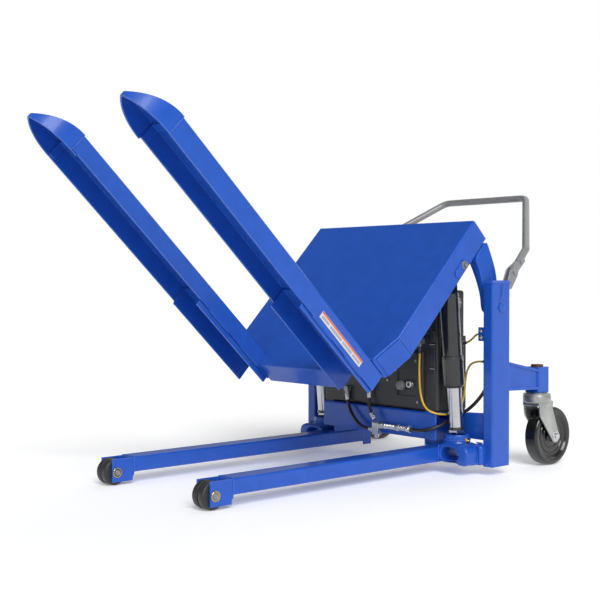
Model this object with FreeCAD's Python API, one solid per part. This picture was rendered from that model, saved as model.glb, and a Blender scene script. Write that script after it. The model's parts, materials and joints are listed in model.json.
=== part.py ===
import FreeCAD, Part
import math
import os

# A portable powered container tilter: two straddle legs on load rollers, two posts with
# swivel casters behind them, and an L-shaped chair of two hollow forks and a pan-shaped back
# that turns about pins in the post tops, pushed by two hydraulic cylinders.
#
# Frame: +Z up, -Y forward (the forks point that way), +X is the operator's left.
# Sizes are in millimetres. The chair is drawn with its forks level and then tilted.

V = FreeCAD.Vector

# ---- driving dimensions ----
TILT = 44.0                 # chair angle at rest, from forks level
ORIGIN_Y = 38.77            # drawing Y of the middle of the overall length
PIVOT = (469.0, 556.0)      # chair pivot, (Y, Z)
SHEET = 5.0                 # pan and bracket sheet
PLATE = 6.0                 # fork and leg plate

LEG_X = (222.0, 290.0)      # inner and outer face of the left leg
LEG_Z = (36.0, 86.0)
LEG_FRONT, LEG_REAR = -525.0, 500.0
ROLLER_Y, ROLLER_R = -588.0, 41.0
ROLLER_AXLE_R = 8.0

POST_X = (414.0, 456.0)
POST_Y = (423.0, 515.0)
POST_Z = (29.0, 638.0)

FORK_X = (181.0, 333.0)
FORK_TOP = 108.0
FORK_NOSE_Y = -755.0        # where the nose starts
FORK_HEEL_Y = 300.0
NOSE_LENGTH = 140.0
HEEL_FRONT_Y = -95.0        # where the heel reinforcement starts

PAN_HALF = 381.0
PAN_Y = (232.0, 316.0)      # front face and rear edge of the back
PAN_TOP = 728.0
PAN_CORNER_Z = 208.0        # where the lower corner cut starts
PAN_FOOT_Z = 50.0

CYL_X = 325.0
CYL_FOOT = (398.0, 112.0)   # foot pin, (Y, Z)
CYL_LEAN = 5.12             # lean of the cylinders at rest, towards -Y
CYL_EYE_AT = 543.8          # foot pin to top eye at rest
CYL_PIN = (297.5, 545.0)    # top pin, drawn with the forks level
ROD_R, BARREL_R, COLLAR_R = 25.5, 33.0, 36.5
COLLAR_AT = (183.0, 283.0)  # collar ends, measured from the foot pin at rest

CASTER_XY = (420.0, 711.0)  # swivel axis
CASTER_TRAIL = 62.0
WHEEL_R, WHEEL_W = 101.5, 50.0

BOX_HALF = 280.0
BOX_Y = (350.0, 504.0)
BOX_Z = (206.0, 455.0, 612.0)   # floor, joint line and top of the power unit housing

HANDLE_R = 12.7
HANDLE_PIN = (549.0, 676.0)     # fold pin, (Y, Z)
HANDLE_X = 436.0

RUN = 0.06                  # radial running clearance of pins and shafts

# ---- routes of the leads and hoses, chosen by hand from end to end ----
LEAD_R, HOSE_R = 3.5, 6.0
SOCKET_LEAD = [(215, 334, 422), (215, 334, 396), (214, 333, 366), (215, 332, 332), (216, 332, 300), (220, 331, 270),
               (229, 329, 243), (243, 327, 221), (264, 328, 206), (283, 344, 198), (289, 370, 194), (288, 400, 193),
               (289, 430, 198), (293, 458, 219), (295, 470, 248), (295, 475, 280), (297, 476, 311), (306, 474, 341),
               (325, 470, 362), (352, 464, 371), (382, 460, 374), (409, 458, 372)]
SWITCH_LEAD = [(376, 458, 467), (361, 461, 465), (345, 467, 458), (327, 473, 446), (307, 477, 435), (285, 478, 430)]
HOSE_LEFT = [(186, 320, 138), (208, 320, 138), (229, 318, 138), (249, 317, 141), (268, 324, 146), (282, 339, 152),
             (290, 358, 159), (290, 380, 166), (289, 406, 174), (296, 432, 184), (314, 457, 200), (340, 468, 224),
             (366, 474, 254), (388, 477, 287), (409, 477, 315)]
HOSE_RIGHT = [(-4, 320, 121), (-32, 320, 121), (-62, 320, 131), (-90, 322, 151), (-115, 326, 174), (-131, 330, 203),
              (-136, 331, 233)]
HOSE_SUPPLY = [(-19, 327, 250), (-19, 326, 228), (-16, 323, 205), (-6, 320, 182), (10, 320, 162)]

parts = {}


# ---- small shape helpers ----
def block(x, y, z):
    """A box from three (low, high) pairs."""
    return Part.makeBox(x[1] - x[0], y[1] - y[0], z[1] - z[0], V(x[0], y[0], z[0]))


def rod_x(x, y, z, r):
    """A round bar along X."""
    return Part.makeCylinder(r, x[1] - x[0], V(x[0], y, z), V(1, 0, 0))


def rod_y(x, y, z, r):
    """A round bar along Y."""
    return Part.makeCylinder(r, y[1] - y[0], V(x, y[0], z), V(0, 1, 0))


def rod_z(x, y, z, r):
    """A round bar along Z."""
    return Part.makeCylinder(r, z[1] - z[0], V(x, y, z[0]), V(0, 0, 1))


def ring_x(x, y, z, r_out, r_in):
    return rod_x(x, y, z, r_out).cut(rod_x((x[0] - 1, x[1] + 1), y, z, r_in))


def ring_z(x, y, z, r_out, r_in):
    return rod_z(x, y, z, r_out).cut(rod_z(x, y, (z[0] - 1, z[1] + 1), r_in))


def plate_x(outline, x):
    """A flat plate of a (Y, Z) outline between two X planes."""
    pts = [V(x[0], y, z) for y, z in outline]
    face = Part.Face(Part.makePolygon(pts + pts[:1]))
    return face.extrude(V(x[1] - x[0], 0, 0))


def plate_y(outline, y):
    """A flat plate of an (X, Z) outline between two Y planes."""
    pts = [V(x, y[0], z) for x, z in outline]
    face = Part.Face(Part.makePolygon(pts + pts[:1]))
    return face.extrude(V(0, y[1] - y[0], 0))


def round_edges(shape, radius, test):
    """Round the edges whose middle passes the test."""
    picked = [e for e in shape.Edges if test(e.valueAt((e.FirstParameter + e.LastParameter) / 2))]
    return shape.makeFillet(radius, picked) if picked else shape


def along(axis):
    """A test for straight edges that run along one axis, by its index."""
    def test(edge):
        a, b = edge.Vertexes[0].Point, edge.Vertexes[-1].Point
        return abs(abs((b - a)[axis]) - (b - a).Length) < 1e-6 and (b - a).Length > 1e-6
    return test


def round_along(shape, radius, axis):
    """Round every straight edge that runs along one axis."""
    test = along(axis)
    return shape.makeFillet(radius, [e for e in shape.Edges if test(e)])


def hollow_tube(x, y, z, wall, radius, axis):
    """A rectangular tube with rounded corners, open at both ends of its long axis."""
    outer = round_along(block(x, y, z), radius, axis)
    spans = [list(x), list(y), list(z)]
    for i in range(3):
        grow = 1.0 if i == axis else -wall
        spans[i] = (spans[i][0] - grow, spans[i][1] + grow)
    inner = block(*spans)
    if radius > wall:
        inner = round_along(inner, radius - wall, axis)
    return outer.cut(inner)


def mirrored(shape):
    """The same piece on the other side of the machine."""
    return shape.mirror(V(0, 0, 0), V(1, 0, 0))


def fuse(*shapes):
    return shapes[0].multiFuse(list(shapes[1:])).removeSplitter()


def keep(name, shape):
    """File a finished piece, moved so the origin is under the middle of the machine."""
    moved = shape.copy()
    moved.translate(V(0, -ORIGIN_Y, 0))
    parts[name] = moved


def keep_pair(name, shape):
    """File a left piece and its mirrored twin."""
    keep(name + "_left", shape)
    keep(name + "_right", mirrored(shape))


def keep_both(name, shape):
    """File a left piece and its twin as separate solids of one node."""
    keep(name, Part.makeCompound([*shape.Solids, *mirrored(shape).Solids]))


def tilted(shape):
    """Turn a chair piece from forks level to its rest angle."""
    turned = shape.copy()
    turned.rotate(V(0, PIVOT[0], PIVOT[1]), V(-1, 0, 0), TILT)
    return turned


def leaned(shape):
    """Turn a cylinder piece, drawn upright over its foot pin, to its rest lean."""
    turned = shape.copy()
    turned.rotate(V(0, CYL_FOOT[0], CYL_FOOT[1]), V(1, 0, 0), CYL_LEAN)
    return turned


def bolt_x(x, y, z, r, head, out):
    """A hexagon bolt head and shank end that stand out of a face along X."""
    pts = [V(x, y + 1.15 * r * math.cos(k * math.pi / 3), z + 1.15 * r * math.sin(k * math.pi / 3))
           for k in range(6)]
    face = Part.Face(Part.makePolygon(pts + pts[:1]))
    return face.extrude(V(out * head, 0, 0))


def hex_y(x, y, z, r, head, out):
    """A hexagon bolt head that stands out of a face along Y."""
    pts = [V(x + 1.15 * r * math.cos(k * math.pi / 3), y, z + 1.15 * r * math.sin(k * math.pi / 3))
           for k in range(6)]
    face = Part.Face(Part.makePolygon(pts + pts[:1]))
    return face.extrude(V(0, out * head, 0))


def cord(points, radius, name):
    """A round cord on straight runs joined by tangent arcs, as large as the runs allow."""
    pts = [V(*p) for p in points]
    edges, at, radii = [], pts[0], []
    for i in range(1, len(pts) - 1):
        back, ahead = pts[i - 1] - pts[i], pts[i + 1] - pts[i]
        run = 0.45 * min(back.Length, ahead.Length)
        u, w = V(back).normalize(), V(ahead).normalize()
        turn = math.pi - u.getAngle(w)
        bend = run / math.tan(turn / 2)
        start, end = pts[i] + u * run, pts[i] + w * run
        middle = pts[i] + (u + w).normalize() * (bend / math.cos(turn / 2) - bend)
        edges.append(Part.LineSegment(at, start).toShape())
        edges.append(Part.Arc(start, middle, end).toShape())
        radii.append(bend)
        at = end
    edges.append(Part.LineSegment(at, pts[-1]).toShape())
    path = Part.Wire(edges)
    ring = Part.Wire(Part.makeCircle(radius, pts[0], pts[1] - pts[0]))
    tube = path.makePipeShell([ring], True, False, 2)
    ideal = math.pi * radius ** 2 * path.Length
    print(name, "length", round(path.Length, 1), "volume ratio", round(tube.Volume / ideal, 4),
          "radii", [round(r, 1) for r in radii])
    return tube


# ---- frame: legs, posts, cross members ----
def make_legs():
    leg = hollow_tube(LEG_X, (LEG_FRONT, LEG_REAR), LEG_Z, 5.0, 7.0, 1)
    for y in (LEG_FRONT, LEG_REAR - SHEET):
        leg = leg.fuse(block((LEG_X[0] + 4, LEG_X[1] - 4), (y, y + SHEET), (LEG_Z[0] + 4, LEG_Z[1] - 4)))
    keep_both("legs", leg.removeSplitter())

    # the roller fork: two cheek plates with a stepped lower edge, a sloped top plate
    front, back = -605.0, LEG_FRONT
    low, top = 11.0, LEG_Z[1] - 3
    cheek = [(front, low), (back - 6, low), (back - 6, 22), (back, 30), (back, top), (front, top)]
    inner = plate_x(cheek, (LEG_X[0], LEG_X[0] + 7))
    outer = plate_x(cheek, (LEG_X[1] - 7, LEG_X[1]))
    slope = plate_x([(-540, 60), (-534, 60), (back, top), (-534, top)], (LEG_X[0] + 7, LEG_X[1] - 7))
    web = block((LEG_X[0] + 7, LEG_X[1] - 7), (back - 5, back), (LEG_Z[0], top - 12))
    fork = fuse(inner, outer, slope, web)
    fork = fork.cut(rod_x((LEG_X[0] - 1, LEG_X[1] + 1), ROLLER_Y, ROLLER_R, ROLLER_AXLE_R + RUN))
    keep_both("roller_forks", fork)


def make_posts():
    post = hollow_tube(POST_X, POST_Y, POST_Z, 5.0, 7.0, 2)
    foot = block((POST_X[0] + 4, POST_X[1] - 4), (POST_Y[0] + 4, POST_Y[1] - 4), (POST_Z[0], POST_Z[0] + 5))
    post = fuse(post, foot).cut(rod_x((POST_X[0] - 1, POST_X[1] + 1), *PIVOT, 12.7 + RUN))
    keep_both("posts", post)
    cap = block(POST_X, POST_Y, (POST_Z[1], POST_Z[1] + 8))
    cap = cap.makeChamfer(5.0, [e for e in cap.Edges if e.CenterOfMass.z > POST_Z[1] + 7.9])
    keep_both("post_caps", cap)
    pin = rod_x((358, POST_X[1] + 5), *PIVOT, 12.7)
    head = rod_x((POST_X[1], POST_X[1] + 4), *PIVOT, 15.5)
    spacer = ring_x((391, POST_X[0]), *PIVOT, 20.0, 12.7)
    keep_both("pivot_pins", Part.makeCompound([fuse(pin, head), spacer]))


def make_outriggers():
    """The formed bridge from leg to post, with a tunnel through it and the cylinder's foot cup."""
    y, z = (345.0, 423.0), (36.0, 98.0)
    body = round_along(block((LEG_X[1], POST_X[0]), y, z), 10.0, 1)
    tunnel = block((LEG_X[1] + 9, POST_X[0] - 36), (y[0] - 1, y[1] + 1), (46.0, 82.0))
    body = body.cut(round_along(tunnel, 16.0, 1))
    lobe = round_along(block((POST_X[0] - 30, POST_X[0] + 16), (y[0] + 55, POST_Y[0]), (33.0, 104.0)), 18.0, 1)
    cup = rod_z(CYL_X, CYL_FOOT[0], (z[1] - 8, 131.0), 42.0)
    skirt = Part.makeCone(50.0, 42.0, 14.0, V(CYL_X, CYL_FOOT[0], z[1]), V(0, 0, 1))
    cavity = rod_z(CYL_X, CYL_FOOT[0], (z[1] - 10, 145.0), 34.0)
    shape = fuse(body, lobe, cup, skirt).cut(cavity)
    shape = shape.cut(rod_x((CYL_X - 60, CYL_X + 60), *CYL_FOOT, 11.0 + RUN))
    shape = shape.cut(block((POST_X[0] - 60, POST_X[0] + 60), (POST_Y[0], POST_Y[0] + 60), (0, 200)))
    keep_both("outriggers", shape)
    pin = rod_x((CYL_X - 46, CYL_X + 46), *CYL_FOOT, 11.0)
    keep_both("foot_pins", pin)


def make_cross_members():
    shelf_half, front, rear = 277.0, 345.0, 506.0
    low, top = 108.0, 200.0
    outer = block((-shelf_half, shelf_half), (front, rear), (low, top))
    outer = round_edges(outer, 8.0, lambda p: abs(p.z - top) < 0.1 and abs(p.y - front) < 0.1)
    inner = block((-shelf_half - 1, shelf_half + 1), (front + PLATE, rear - PLATE), (low - 1, top - PLATE))
    shelf = outer.cut(inner)
    shelf = shelf.fuse(block((20, 44), (HOSE_LEFT[0][1] + 11, front), (112, 130))).removeSplitter()
    keep("cross_shelf", shelf)
    keep("rear_beam", hollow_tube((-POST_X[0], POST_X[0]), (464, 500), (116, 166), 4.0, 5.0, 0))
    wing = plate_y([(shelf_half, 113), (POST_X[0], 113), (POST_X[0], 204), (335, 200), (318, 186), (318, 140),
                    (shelf_half, 140)], (441, 447))
    gusset = plate_x([(351, 86), (351, 190), (400, 190), (500, 112), (538, 94), (538, 24), (500, 24),
                      (500, 86)], (LEG_X[0], LEG_X[0] + PLATE))
    gusset = gusset.cut(block((200, 300), (461, 507), (104, 250)))
    keep_both("frame_gussets", Part.makeCompound([wing, gusset]))


# ---- rear casters ----
def make_casters():
    x, y = CASTER_XY
    half, z = 30.0, (258.0, 346.0)
    housing = round_along(block((x - half, x + half), (y - half, y + half), z), 6.0, 2)
    rear = y - half + 9
    top = plate_x([(POST_Y[1], 366), (POST_Y[1], 374), (rear, 338), (rear, 330)], (POST_X[0] + 3, x + 27))
    bottom = plate_x([(POST_Y[1], 276), (rear, 270), (rear, 278), (POST_Y[1], 284)], (POST_X[0] + 3, x + 27))
    web = plate_x([(POST_Y[1], 280), (rear, 274), (rear, 334), (POST_Y[1], 370)], (x + 16, x + 22))
    arm = fuse(housing, top, bottom, web).cut(rod_z(x, y, (z[0] - 1, z[1] + 1), 16.0 + RUN))
    keep_both("caster_arms", arm)
    keep_both("caster_caps", rod_z(x, y, (z[1] + 4.5, z[1] + 8), 17.0).fuse(
        ring_z(x, y, (z[1], z[1] + 8), 21.0, 16.5)).removeSplitter())

    # swivelling yoke with its stem, raceway ring and two legs
    race = rod_z(x, y, (226, 252), 49.0)
    seal = rod_z(x, y, (252, 257.7), 34.0)
    stem = rod_z(x, y, (252, z[1] + 3.5), 16.0)
    axle_y, axle_z = y + CASTER_TRAIL, WHEEL_R
    gap = WHEEL_W / 2 + 4
    crown = block((x - gap - 6, x + gap + 6), (y - 34, y + 38), (212, 228))
    leg = [(y - 30, 226), (y - 34, 200), (axle_y - 19, axle_z + 4), (axle_y - 12, axle_z - 15),
           (axle_y + 12, axle_z - 15), (axle_y + 19, axle_z + 6), (y + 38, 214), (y + 38, 226)]
    legs = [plate_x(leg, (x + side * gap, x + side * gap + side * 6)) for side in (-1, 1)]
    yoke = fuse(race, seal, stem, crown, *legs)
    yoke = yoke.cut(rod_x((x - 60, x + 60), axle_y, axle_z, 6.35))
    bolt = fuse(rod_x((x - gap - 16, x + gap + 10), axle_y, axle_z, 6.35),
                bolt_x(x + gap + 6, axle_y, axle_z, 9.5, 8, 1), bolt_x(x - gap - 6, axle_y, axle_z, 9.5, 8, -1))
    keep_pair("caster_yoke", Part.makeCompound([yoke, bolt]))

    tread = round_edges(rod_x((x - WHEEL_W / 2, x + WHEEL_W / 2), axle_y, axle_z, WHEEL_R), 9.0,
                        lambda p: math.hypot(p.y - axle_y, p.z - axle_z) > WHEEL_R - 1
                        and abs(abs(p.x - x) - WHEEL_W / 2) < 0.1)
    for side in (-1, 1):
        face = x + side * WHEEL_W / 2
        span = sorted((face, face - side * 9))
        tread = tread.cut(ring_x(span, axle_y, axle_z, 78.0, 33.0))
    hub = rod_x((x - gap + 1, x + gap - 1), axle_y, axle_z, 20.0)
    wheel = fuse(tread, hub).cut(rod_x((x - 60, x + 60), axle_y, axle_z, 6.35 + RUN))
    keep_pair("caster_wheel", wheel)


def make_load_rollers():
    left, right = LEG_X[0] + 7.6, LEG_X[1] - 7.6
    middle = (left + right) / 2
    discs = []
    for a, b in ((left, middle - 2.2), (middle + 2.2, right)):
        disc = rod_x((a, b), ROLLER_Y, ROLLER_R, ROLLER_R)
        discs.append(round_edges(disc, 6.0, lambda p: math.hypot(p.y - ROLLER_Y, p.z - ROLLER_R) > ROLLER_R - 1
                                 and min(abs(p.x - a), abs(p.x - b)) < 0.1))
    hub = rod_x((middle - 3, middle + 3), ROLLER_Y, ROLLER_R, 24.0)
    roller = fuse(*discs, hub).cut(rod_x((left - 5, right + 5), ROLLER_Y, ROLLER_R, ROLLER_AXLE_R + RUN))
    keep_pair("load_roller", roller)
    axle = rod_x((LEG_X[0] - 2, LEG_X[1] + 3), ROLLER_Y, ROLLER_R, ROLLER_AXLE_R)
    ring = ring_x((LEG_X[1], LEG_X[1] + 2), ROLLER_Y, ROLLER_R, 15.0, ROLLER_AXLE_R)
    keep_both("roller_axles", Part.makeCompound([axle, ring]))


# ---- chair ----
def nose_shell(inset):
    """A fork nose: two arcs meet in plan at the tip, and its top falls along a third arc."""
    half = (FORK_X[1] - FORK_X[0]) / 2 - inset
    middle = (FORK_X[0] + FORK_X[1]) / 2
    length, start = NOSE_LENGTH - inset, FORK_NOSE_Y
    tip_half = 9.0 - inset / 2
    radius = (length ** 2 + (half - tip_half) ** 2) / (2 * (half - tip_half))
    sweep = math.asin(length / radius) / 2
    x_mid = half - radius * (1 - math.cos(sweep))
    y_mid = start - radius * math.sin(sweep)
    low = 40.0 - (1.0 if inset else 0.0)
    edges = []
    for side in (1, -1):
        a = V(middle + side * half, start, low)
        b = V(middle + side * x_mid, y_mid, low)
        c = V(middle + side * tip_half, start - length, low)
        edges.append(Part.Arc(a, b, c).toShape())
    tip = Part.Arc(V(middle + tip_half, start - length, low), V(middle, start - length - tip_half / 2, low),
                   V(middle - tip_half, start - length, low)).toShape()
    back = Part.LineSegment(V(middle - half, start, low), V(middle + half, start, low)).toShape()
    plan = Part.Face(Part.Wire(Part.__sortEdges__(edges + [tip, back])))
    solid = plan.extrude(V(0, 0, 100))

    drop, top = 50.0, FORK_TOP - inset
    fall = (NOSE_LENGTH ** 2 + drop ** 2) / (2 * drop)
    s2 = math.asin((NOSE_LENGTH + 6) / fall) / 2
    p0 = V(0, start, top)
    p1 = V(0, start - fall * math.sin(s2), top - fall * (1 - math.cos(s2)))
    p2 = V(0, start - fall * math.sin(2 * s2), top - fall * (1 - math.cos(2 * s2)))
    side_edges = [Part.Arc(p0, p1, p2).toShape(), Part.LineSegment(p2, V(0, p2.y, 0)).toShape(),
                  Part.LineSegment(V(0, p2.y, 0), V(0, start, 0)).toShape(),
                  Part.LineSegment(V(0, start, 0), p0).toShape()]
    profile = Part.Face(Part.Wire(side_edges)).extrude(V(400, 0, 0))
    return solid.common(profile)


def make_forks():
    x, y = FORK_X, (FORK_NOSE_Y, FORK_HEEL_Y)
    skin = block(x, y, (40, FORK_TOP))
    skin = round_edges(skin, 9.0, lambda p: abs(p.z - FORK_TOP) < 0.1 and abs(p.y - sum(y) / 2) < 1)
    core = block((x[0] + PLATE, x[1] - PLATE), (y[0] - 1, y[1] + 1), (39, FORK_TOP - PLATE))
    fork = skin.cut(core).cut(block((x[0] - 1, x[0] + 20), (y[0] - 1, y[1] + 1), (30, 47)))
    keep_pair("fork", tilted(fork))

    inner_x = (x[0] + PLATE + 1, x[1] - PLATE - 1)
    ly = (HEEL_FRONT_Y, FORK_HEEL_Y - 2)
    heel = block(inner_x, ly, (28, FORK_TOP - PLATE))
    heel = heel.cut(block((inner_x[0] + PLATE, inner_x[1] - PLATE), (ly[0] - 1, ly[1] + 1),
                          (20, FORK_TOP - 2 * PLATE)))
    keep_both("fork_heels", tilted(heel))

    nose = nose_shell(0).cut(nose_shell(SHEET))
    band_y = (FORK_NOSE_Y, FORK_NOSE_Y + 24)
    band = block((x[0] + PLATE, x[1] - PLATE), band_y, (44, FORK_TOP - PLATE))
    band = band.cut(block((x[0] + 2 * PLATE, x[1] - 2 * PLATE), (band_y[0] - 1, band_y[1] + 1),
                          (30, FORK_TOP - 2 * PLATE)))
    keep_pair("fork_nose", tilted(Part.makeCompound([nose, band])))


def make_back():
    """The back: a shallow pan, open behind, with cut lower corners and a foot between the forks."""
    def outline(inset):
        h, fx0, fx1 = PAN_HALF - inset, FORK_X[0] - inset, FORK_X[1] - 0.45 * inset
        top, foot = PAN_TOP - inset, PAN_FOOT_Z + inset
        corner, ledge = PAN_CORNER_Z + 0.45 * inset, FORK_TOP + inset
        right = [(h, top), (h, corner), (fx1, ledge), (fx0, ledge), (fx0, foot)]
        return right + [(-px, pz) for px, pz in reversed(right)]
    outer = plate_y(outline(0), PAN_Y)
    outer = outer.makeFillet(7.0, [e for e in outer.Edges if abs(e.CenterOfMass.y - PAN_Y[0]) < 0.1
                                   and abs(abs(e.CenterOfMass.x) - PAN_HALF) < 0.1])
    inner = plate_y(outline(SHEET), (PAN_Y[0] + SHEET, PAN_Y[1] + 1))
    pan = outer.cut(inner)
    foot_edge = [e for e in pan.Edges if abs(e.CenterOfMass.y - PAN_Y[0]) < 0.1
                 and abs(e.CenterOfMass.z - PAN_FOOT_Z) < 0.1]
    pan = pan.makeFillet(4.5, foot_edge)
    pan = pan.cut(rod_x((350, 400), *CYL_PIN, 9.0)).cut(rod_x((-400, -350), *CYL_PIN, 9.0))
    keep("back_pan", tilted(pan))

    rib_y = (PAN_Y[0] + SHEET, PAN_Y[1])
    beam_z = (640.0, 690.0)
    beam = hollow_tube((-PAN_HALF + SHEET, PAN_HALF - SHEET), (rib_y[0] + 20, rib_y[1]), beam_z, 4.0, 5.0, 0)
    rib = block((150.0, 156.0), (rib_y[0], rib_y[1] - 10), (PAN_FOOT_Z + SHEET, beam_z[0]))
    keep("back_frame", tilted(Part.makeCompound([beam, rib, mirrored(rib)])))
    lug = [(rib_y[0], 505.0), (rib_y[1] - 2, 520.0), (rib_y[1] - 2, 575.0), (rib_y[0], 600.0)]
    lug = plate_x(lug, (CYL_X - 53, CYL_X - 45)).cut(rod_x((200, 400), *CYL_PIN, 8.0 + RUN))
    keep_both("cylinder_lugs", tilted(lug))
    pin = rod_x((CYL_X - 58, PAN_HALF + 2), *CYL_PIN, 8.0)
    flag = plate_x([(CYL_PIN[0] - 16, CYL_PIN[1]), (CYL_PIN[0] + 15, CYL_PIN[1]),
                    (CYL_PIN[0] + 15, CYL_PIN[1] + 50), (CYL_PIN[0] - 16, CYL_PIN[1] + 50)],
                   (PAN_HALF, PAN_HALF + 4)).fuse(rod_x((PAN_HALF, PAN_HALF + 4), CYL_PIN[0] - 0.5, CYL_PIN[1], 15.5))
    bolt = bolt_x(PAN_HALF + 4, CYL_PIN[0], CYL_PIN[1] + 40, 7.0, 6.0, 1)
    keep_both("flag_pins", tilted(Part.makeCompound([fuse(pin, flag), bolt])))


def make_pivot_arms():
    """The curved channel arms that hang the chair on the pivot pins, open underneath."""
    py, pz = PIVOT
    x = (364.0, 390.0)
    start = PAN_Y[1]

    def outline():
        edges = [
            Part.LineSegment(V(0, start, 630), V(0, start, 694)).toShape(),
            Part.LineSegment(V(0, start, 694), V(0, 350, 692)).toShape(),
            Part.Arc(V(0, 350, 692), V(0, 446, 648), V(0, py + 35, pz)).toShape(),
            Part.Arc(V(0, py + 35, pz), V(0, py, pz - 35), V(0, py - 35, pz)).toShape(),
            Part.Arc(V(0, py - 35, pz), V(0, 402, 594), V(0, 340, 626)).toShape(),
            Part.LineSegment(V(0, 340, 626), V(0, start, 630)).toShape(),
        ]
        return Part.Face(Part.Wire(edges))

    face = outline()
    face.translate(V(x[0], 0, 0))
    body = face.extrude(V(x[1] - x[0], 0, 0))
    core = outline()
    core.translate(V(x[0] + SHEET, -4.0, -4.5))
    core = core.extrude(V(x[1] - x[0] - 2 * SHEET, 0, 0))
    core = core.cut(rod_x((300, 400), py, pz, 24.0)).cut(block((300, 400), (0, start + SHEET), (0, 900)))
    web = body.cut(core)
    foot = block((x[0] - 44, x[1]), (start, start + SHEET), (622, 702))
    arm = fuse(web, foot).cut(rod_x((300, 420), py, pz, 17.0))
    keep_pair("pivot_arm", tilted(arm))
    keep_both("pivot_bushes", tilted(ring_x(x, py, pz, 17.0, 12.7 + RUN)))


# ---- hydraulic cylinders, drawn upright over the foot pin ----
def make_cylinders():
    fy, fz = CYL_FOOT
    eye_z = fz + CYL_EYE_AT
    tang = round_edges(block((CYL_X - 17, CYL_X + 17), (fy - 18, fy + 18), (fz - 18, fz + 36)), 9.0,
                       lambda p: abs(p.z - (fz - 18)) < 0.1)
    rod = fuse(tang, rod_z(CYL_X, fy, (fz + 35, fz + 385), ROD_R), rod_z(CYL_X, fy, (fz + 35, fz + 44), 28.0))
    rod = rod.cut(rod_x((CYL_X - 40, CYL_X + 40), fy, fz, 11.0 + RUN))
    keep_pair("cylinder_rod", leaned(rod))
    low, high = fz + COLLAR_AT[0], fz + COLLAR_AT[1]
    collar = ring_z(CYL_X, fy, (low, high), COLLAR_R, ROD_R + RUN)
    collar = collar.makeChamfer(2.5, [e for e in collar.Edges if abs(e.CenterOfMass.z - low) < 0.1
                                      and e.Length > 2 * math.pi * (COLLAR_R - 1)])
    cap_z = eye_z - 58
    barrel = ring_z(CYL_X, fy, (high, cap_z), BARREL_R, ROD_R + 2.0)
    cap = rod_z(CYL_X, fy, (cap_z - 12, cap_z + 6), BARREL_R)
    eye = fuse(rod_x((CYL_X - 14, CYL_X + 14), fy, eye_z, BARREL_R + 3),
               block((CYL_X - 14, CYL_X + 14), (fy - 30, fy + 30), (cap_z, eye_z)))
    eye = eye.cut(rod_x((CYL_X - 40, CYL_X + 40), fy, eye_z, 27.5))
    eye = eye.cut(block((CYL_X - 40, CYL_X + 40), (fy - 12, fy + 12), (cap_z + 6, eye_z)).common(
        rod_x((CYL_X - 40, CYL_X + 40), fy, eye_z, 27.5)))
    keep_pair("cylinder_barrel", leaned(Part.makeCompound([fuse(barrel, cap, eye), collar])))


# ---- power unit ----
def make_power_unit():
    x, y = (-BOX_HALF, BOX_HALF), BOX_Y
    floor, joint, top = BOX_Z
    tray = round_along(block(x, y, (floor, joint)), 12.0, 2)
    tray = tray.cut(block((x[0] + 4, x[1] - 4), (y[0] + 4, y[1] - 4), (floor + 4, joint + 1)))
    deck = block((x[0] + 4, x[1] - 4), (y[0] + 4, y[1] - 4), (joint - 6, joint))
    feet = [block((a, a + 40), y, (200, floor)) for a in (-270, 230)]
    saddles = [block((a, a + 20), (400, 454), (joint, 478)) for a in (-160, -60)]
    keep("battery_box", Part.makeCompound([tray, deck, *feet, *saddles]))
    hood = round_along(block((x[0] + 6, x[1] - 6), (y[0] + 4, y[1] - 4), (joint, top)), 14.0, 2)
    hood = hood.makeFillet(10.0, [e for e in hood.Edges if abs(e.CenterOfMass.z - top) < 0.1])
    hood = hood.cut(block((x[0] + 10, x[1] - 10), (y[0] + 8, y[1] - 8), (joint - 1, top - 4)))
    keep("power_hood", hood)
    panel = block((-172, 222), (y[0] - 9, y[0]), (floor + 2, 404))
    panel = round_edges(panel, 6.0, lambda p: abs(p.y - (y[0] - 9)) < 0.1)
    panel = panel.cut(block((104, 190), (y[0] - 10, y[0] - 5), (248, 330)))
    keep("front_panel", panel)
    battery = []
    for x0 in (-262.0, -86.0, 92.0):
        case = block((x0, x0 + 168), (y[0] + 8, y[1] - 8), (floor + 5, floor + 212))
        posts = [rod_z(px, y[0] + 30, (floor + 212, floor + 226), 8.0) for px in (x0 + 28, x0 + 140)]
        battery.append(fuse(case, *posts))
    keep("batteries", Part.makeCompound(battery[:2]))
    keep("oil_tank", round_along(block((96, 258), (y[0] + 10, y[1] - 10), (floor + 5, floor + 180)), 8.0, 2))
    motor = fuse(rod_x((-180, -20), 427, 530, 52.0), rod_x((-20, 12), 427, 530, 44.0))
    keep("pump_motor", Part.makeCompound([motor, rod_x((-150, -60), 372, 588, 11.0)]))
    keep("valve_block", block((12, 90), (392, 462), (joint, 570)))
    latches = []
    for z in ((300.0, 350.0), (425.0, 480.0)):
        latches.append(block((BOX_HALF - 30, BOX_HALF - 4), (y[0] - 6, y[0]), z))
    keep_both("hood_latches", Part.makeCompound(latches))
    bolts = []
    for bx, bz in ((60, 297), (98, 335), (192, 371), (-150, 380), (-150, 230), (200, 230)):
        bolts.append(hex_y(bx, y[0] - 9, bz, 4.5, 4.0, -1))
    keep("panel_bolts", Part.makeCompound(bolts))
    socket = fuse(rod_y(166, (y[0] - 17, y[0] - 5), 290, 12.0), rod_y(166, (y[0] - 21, y[0] - 17), 290, 7.0))
    keep("charge_socket", socket)
    knob = fuse(rod_y(130, (y[0] - 30, y[0] - 8), 284, 17.0), rod_y(130, (y[0] - 8, y[0] - 5.4), 284, 8.0),
                block((126.5, 133.5), (y[0] - 32, y[0] - 30), (270, 298)))
    keep("disconnect_knob", knob)


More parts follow.
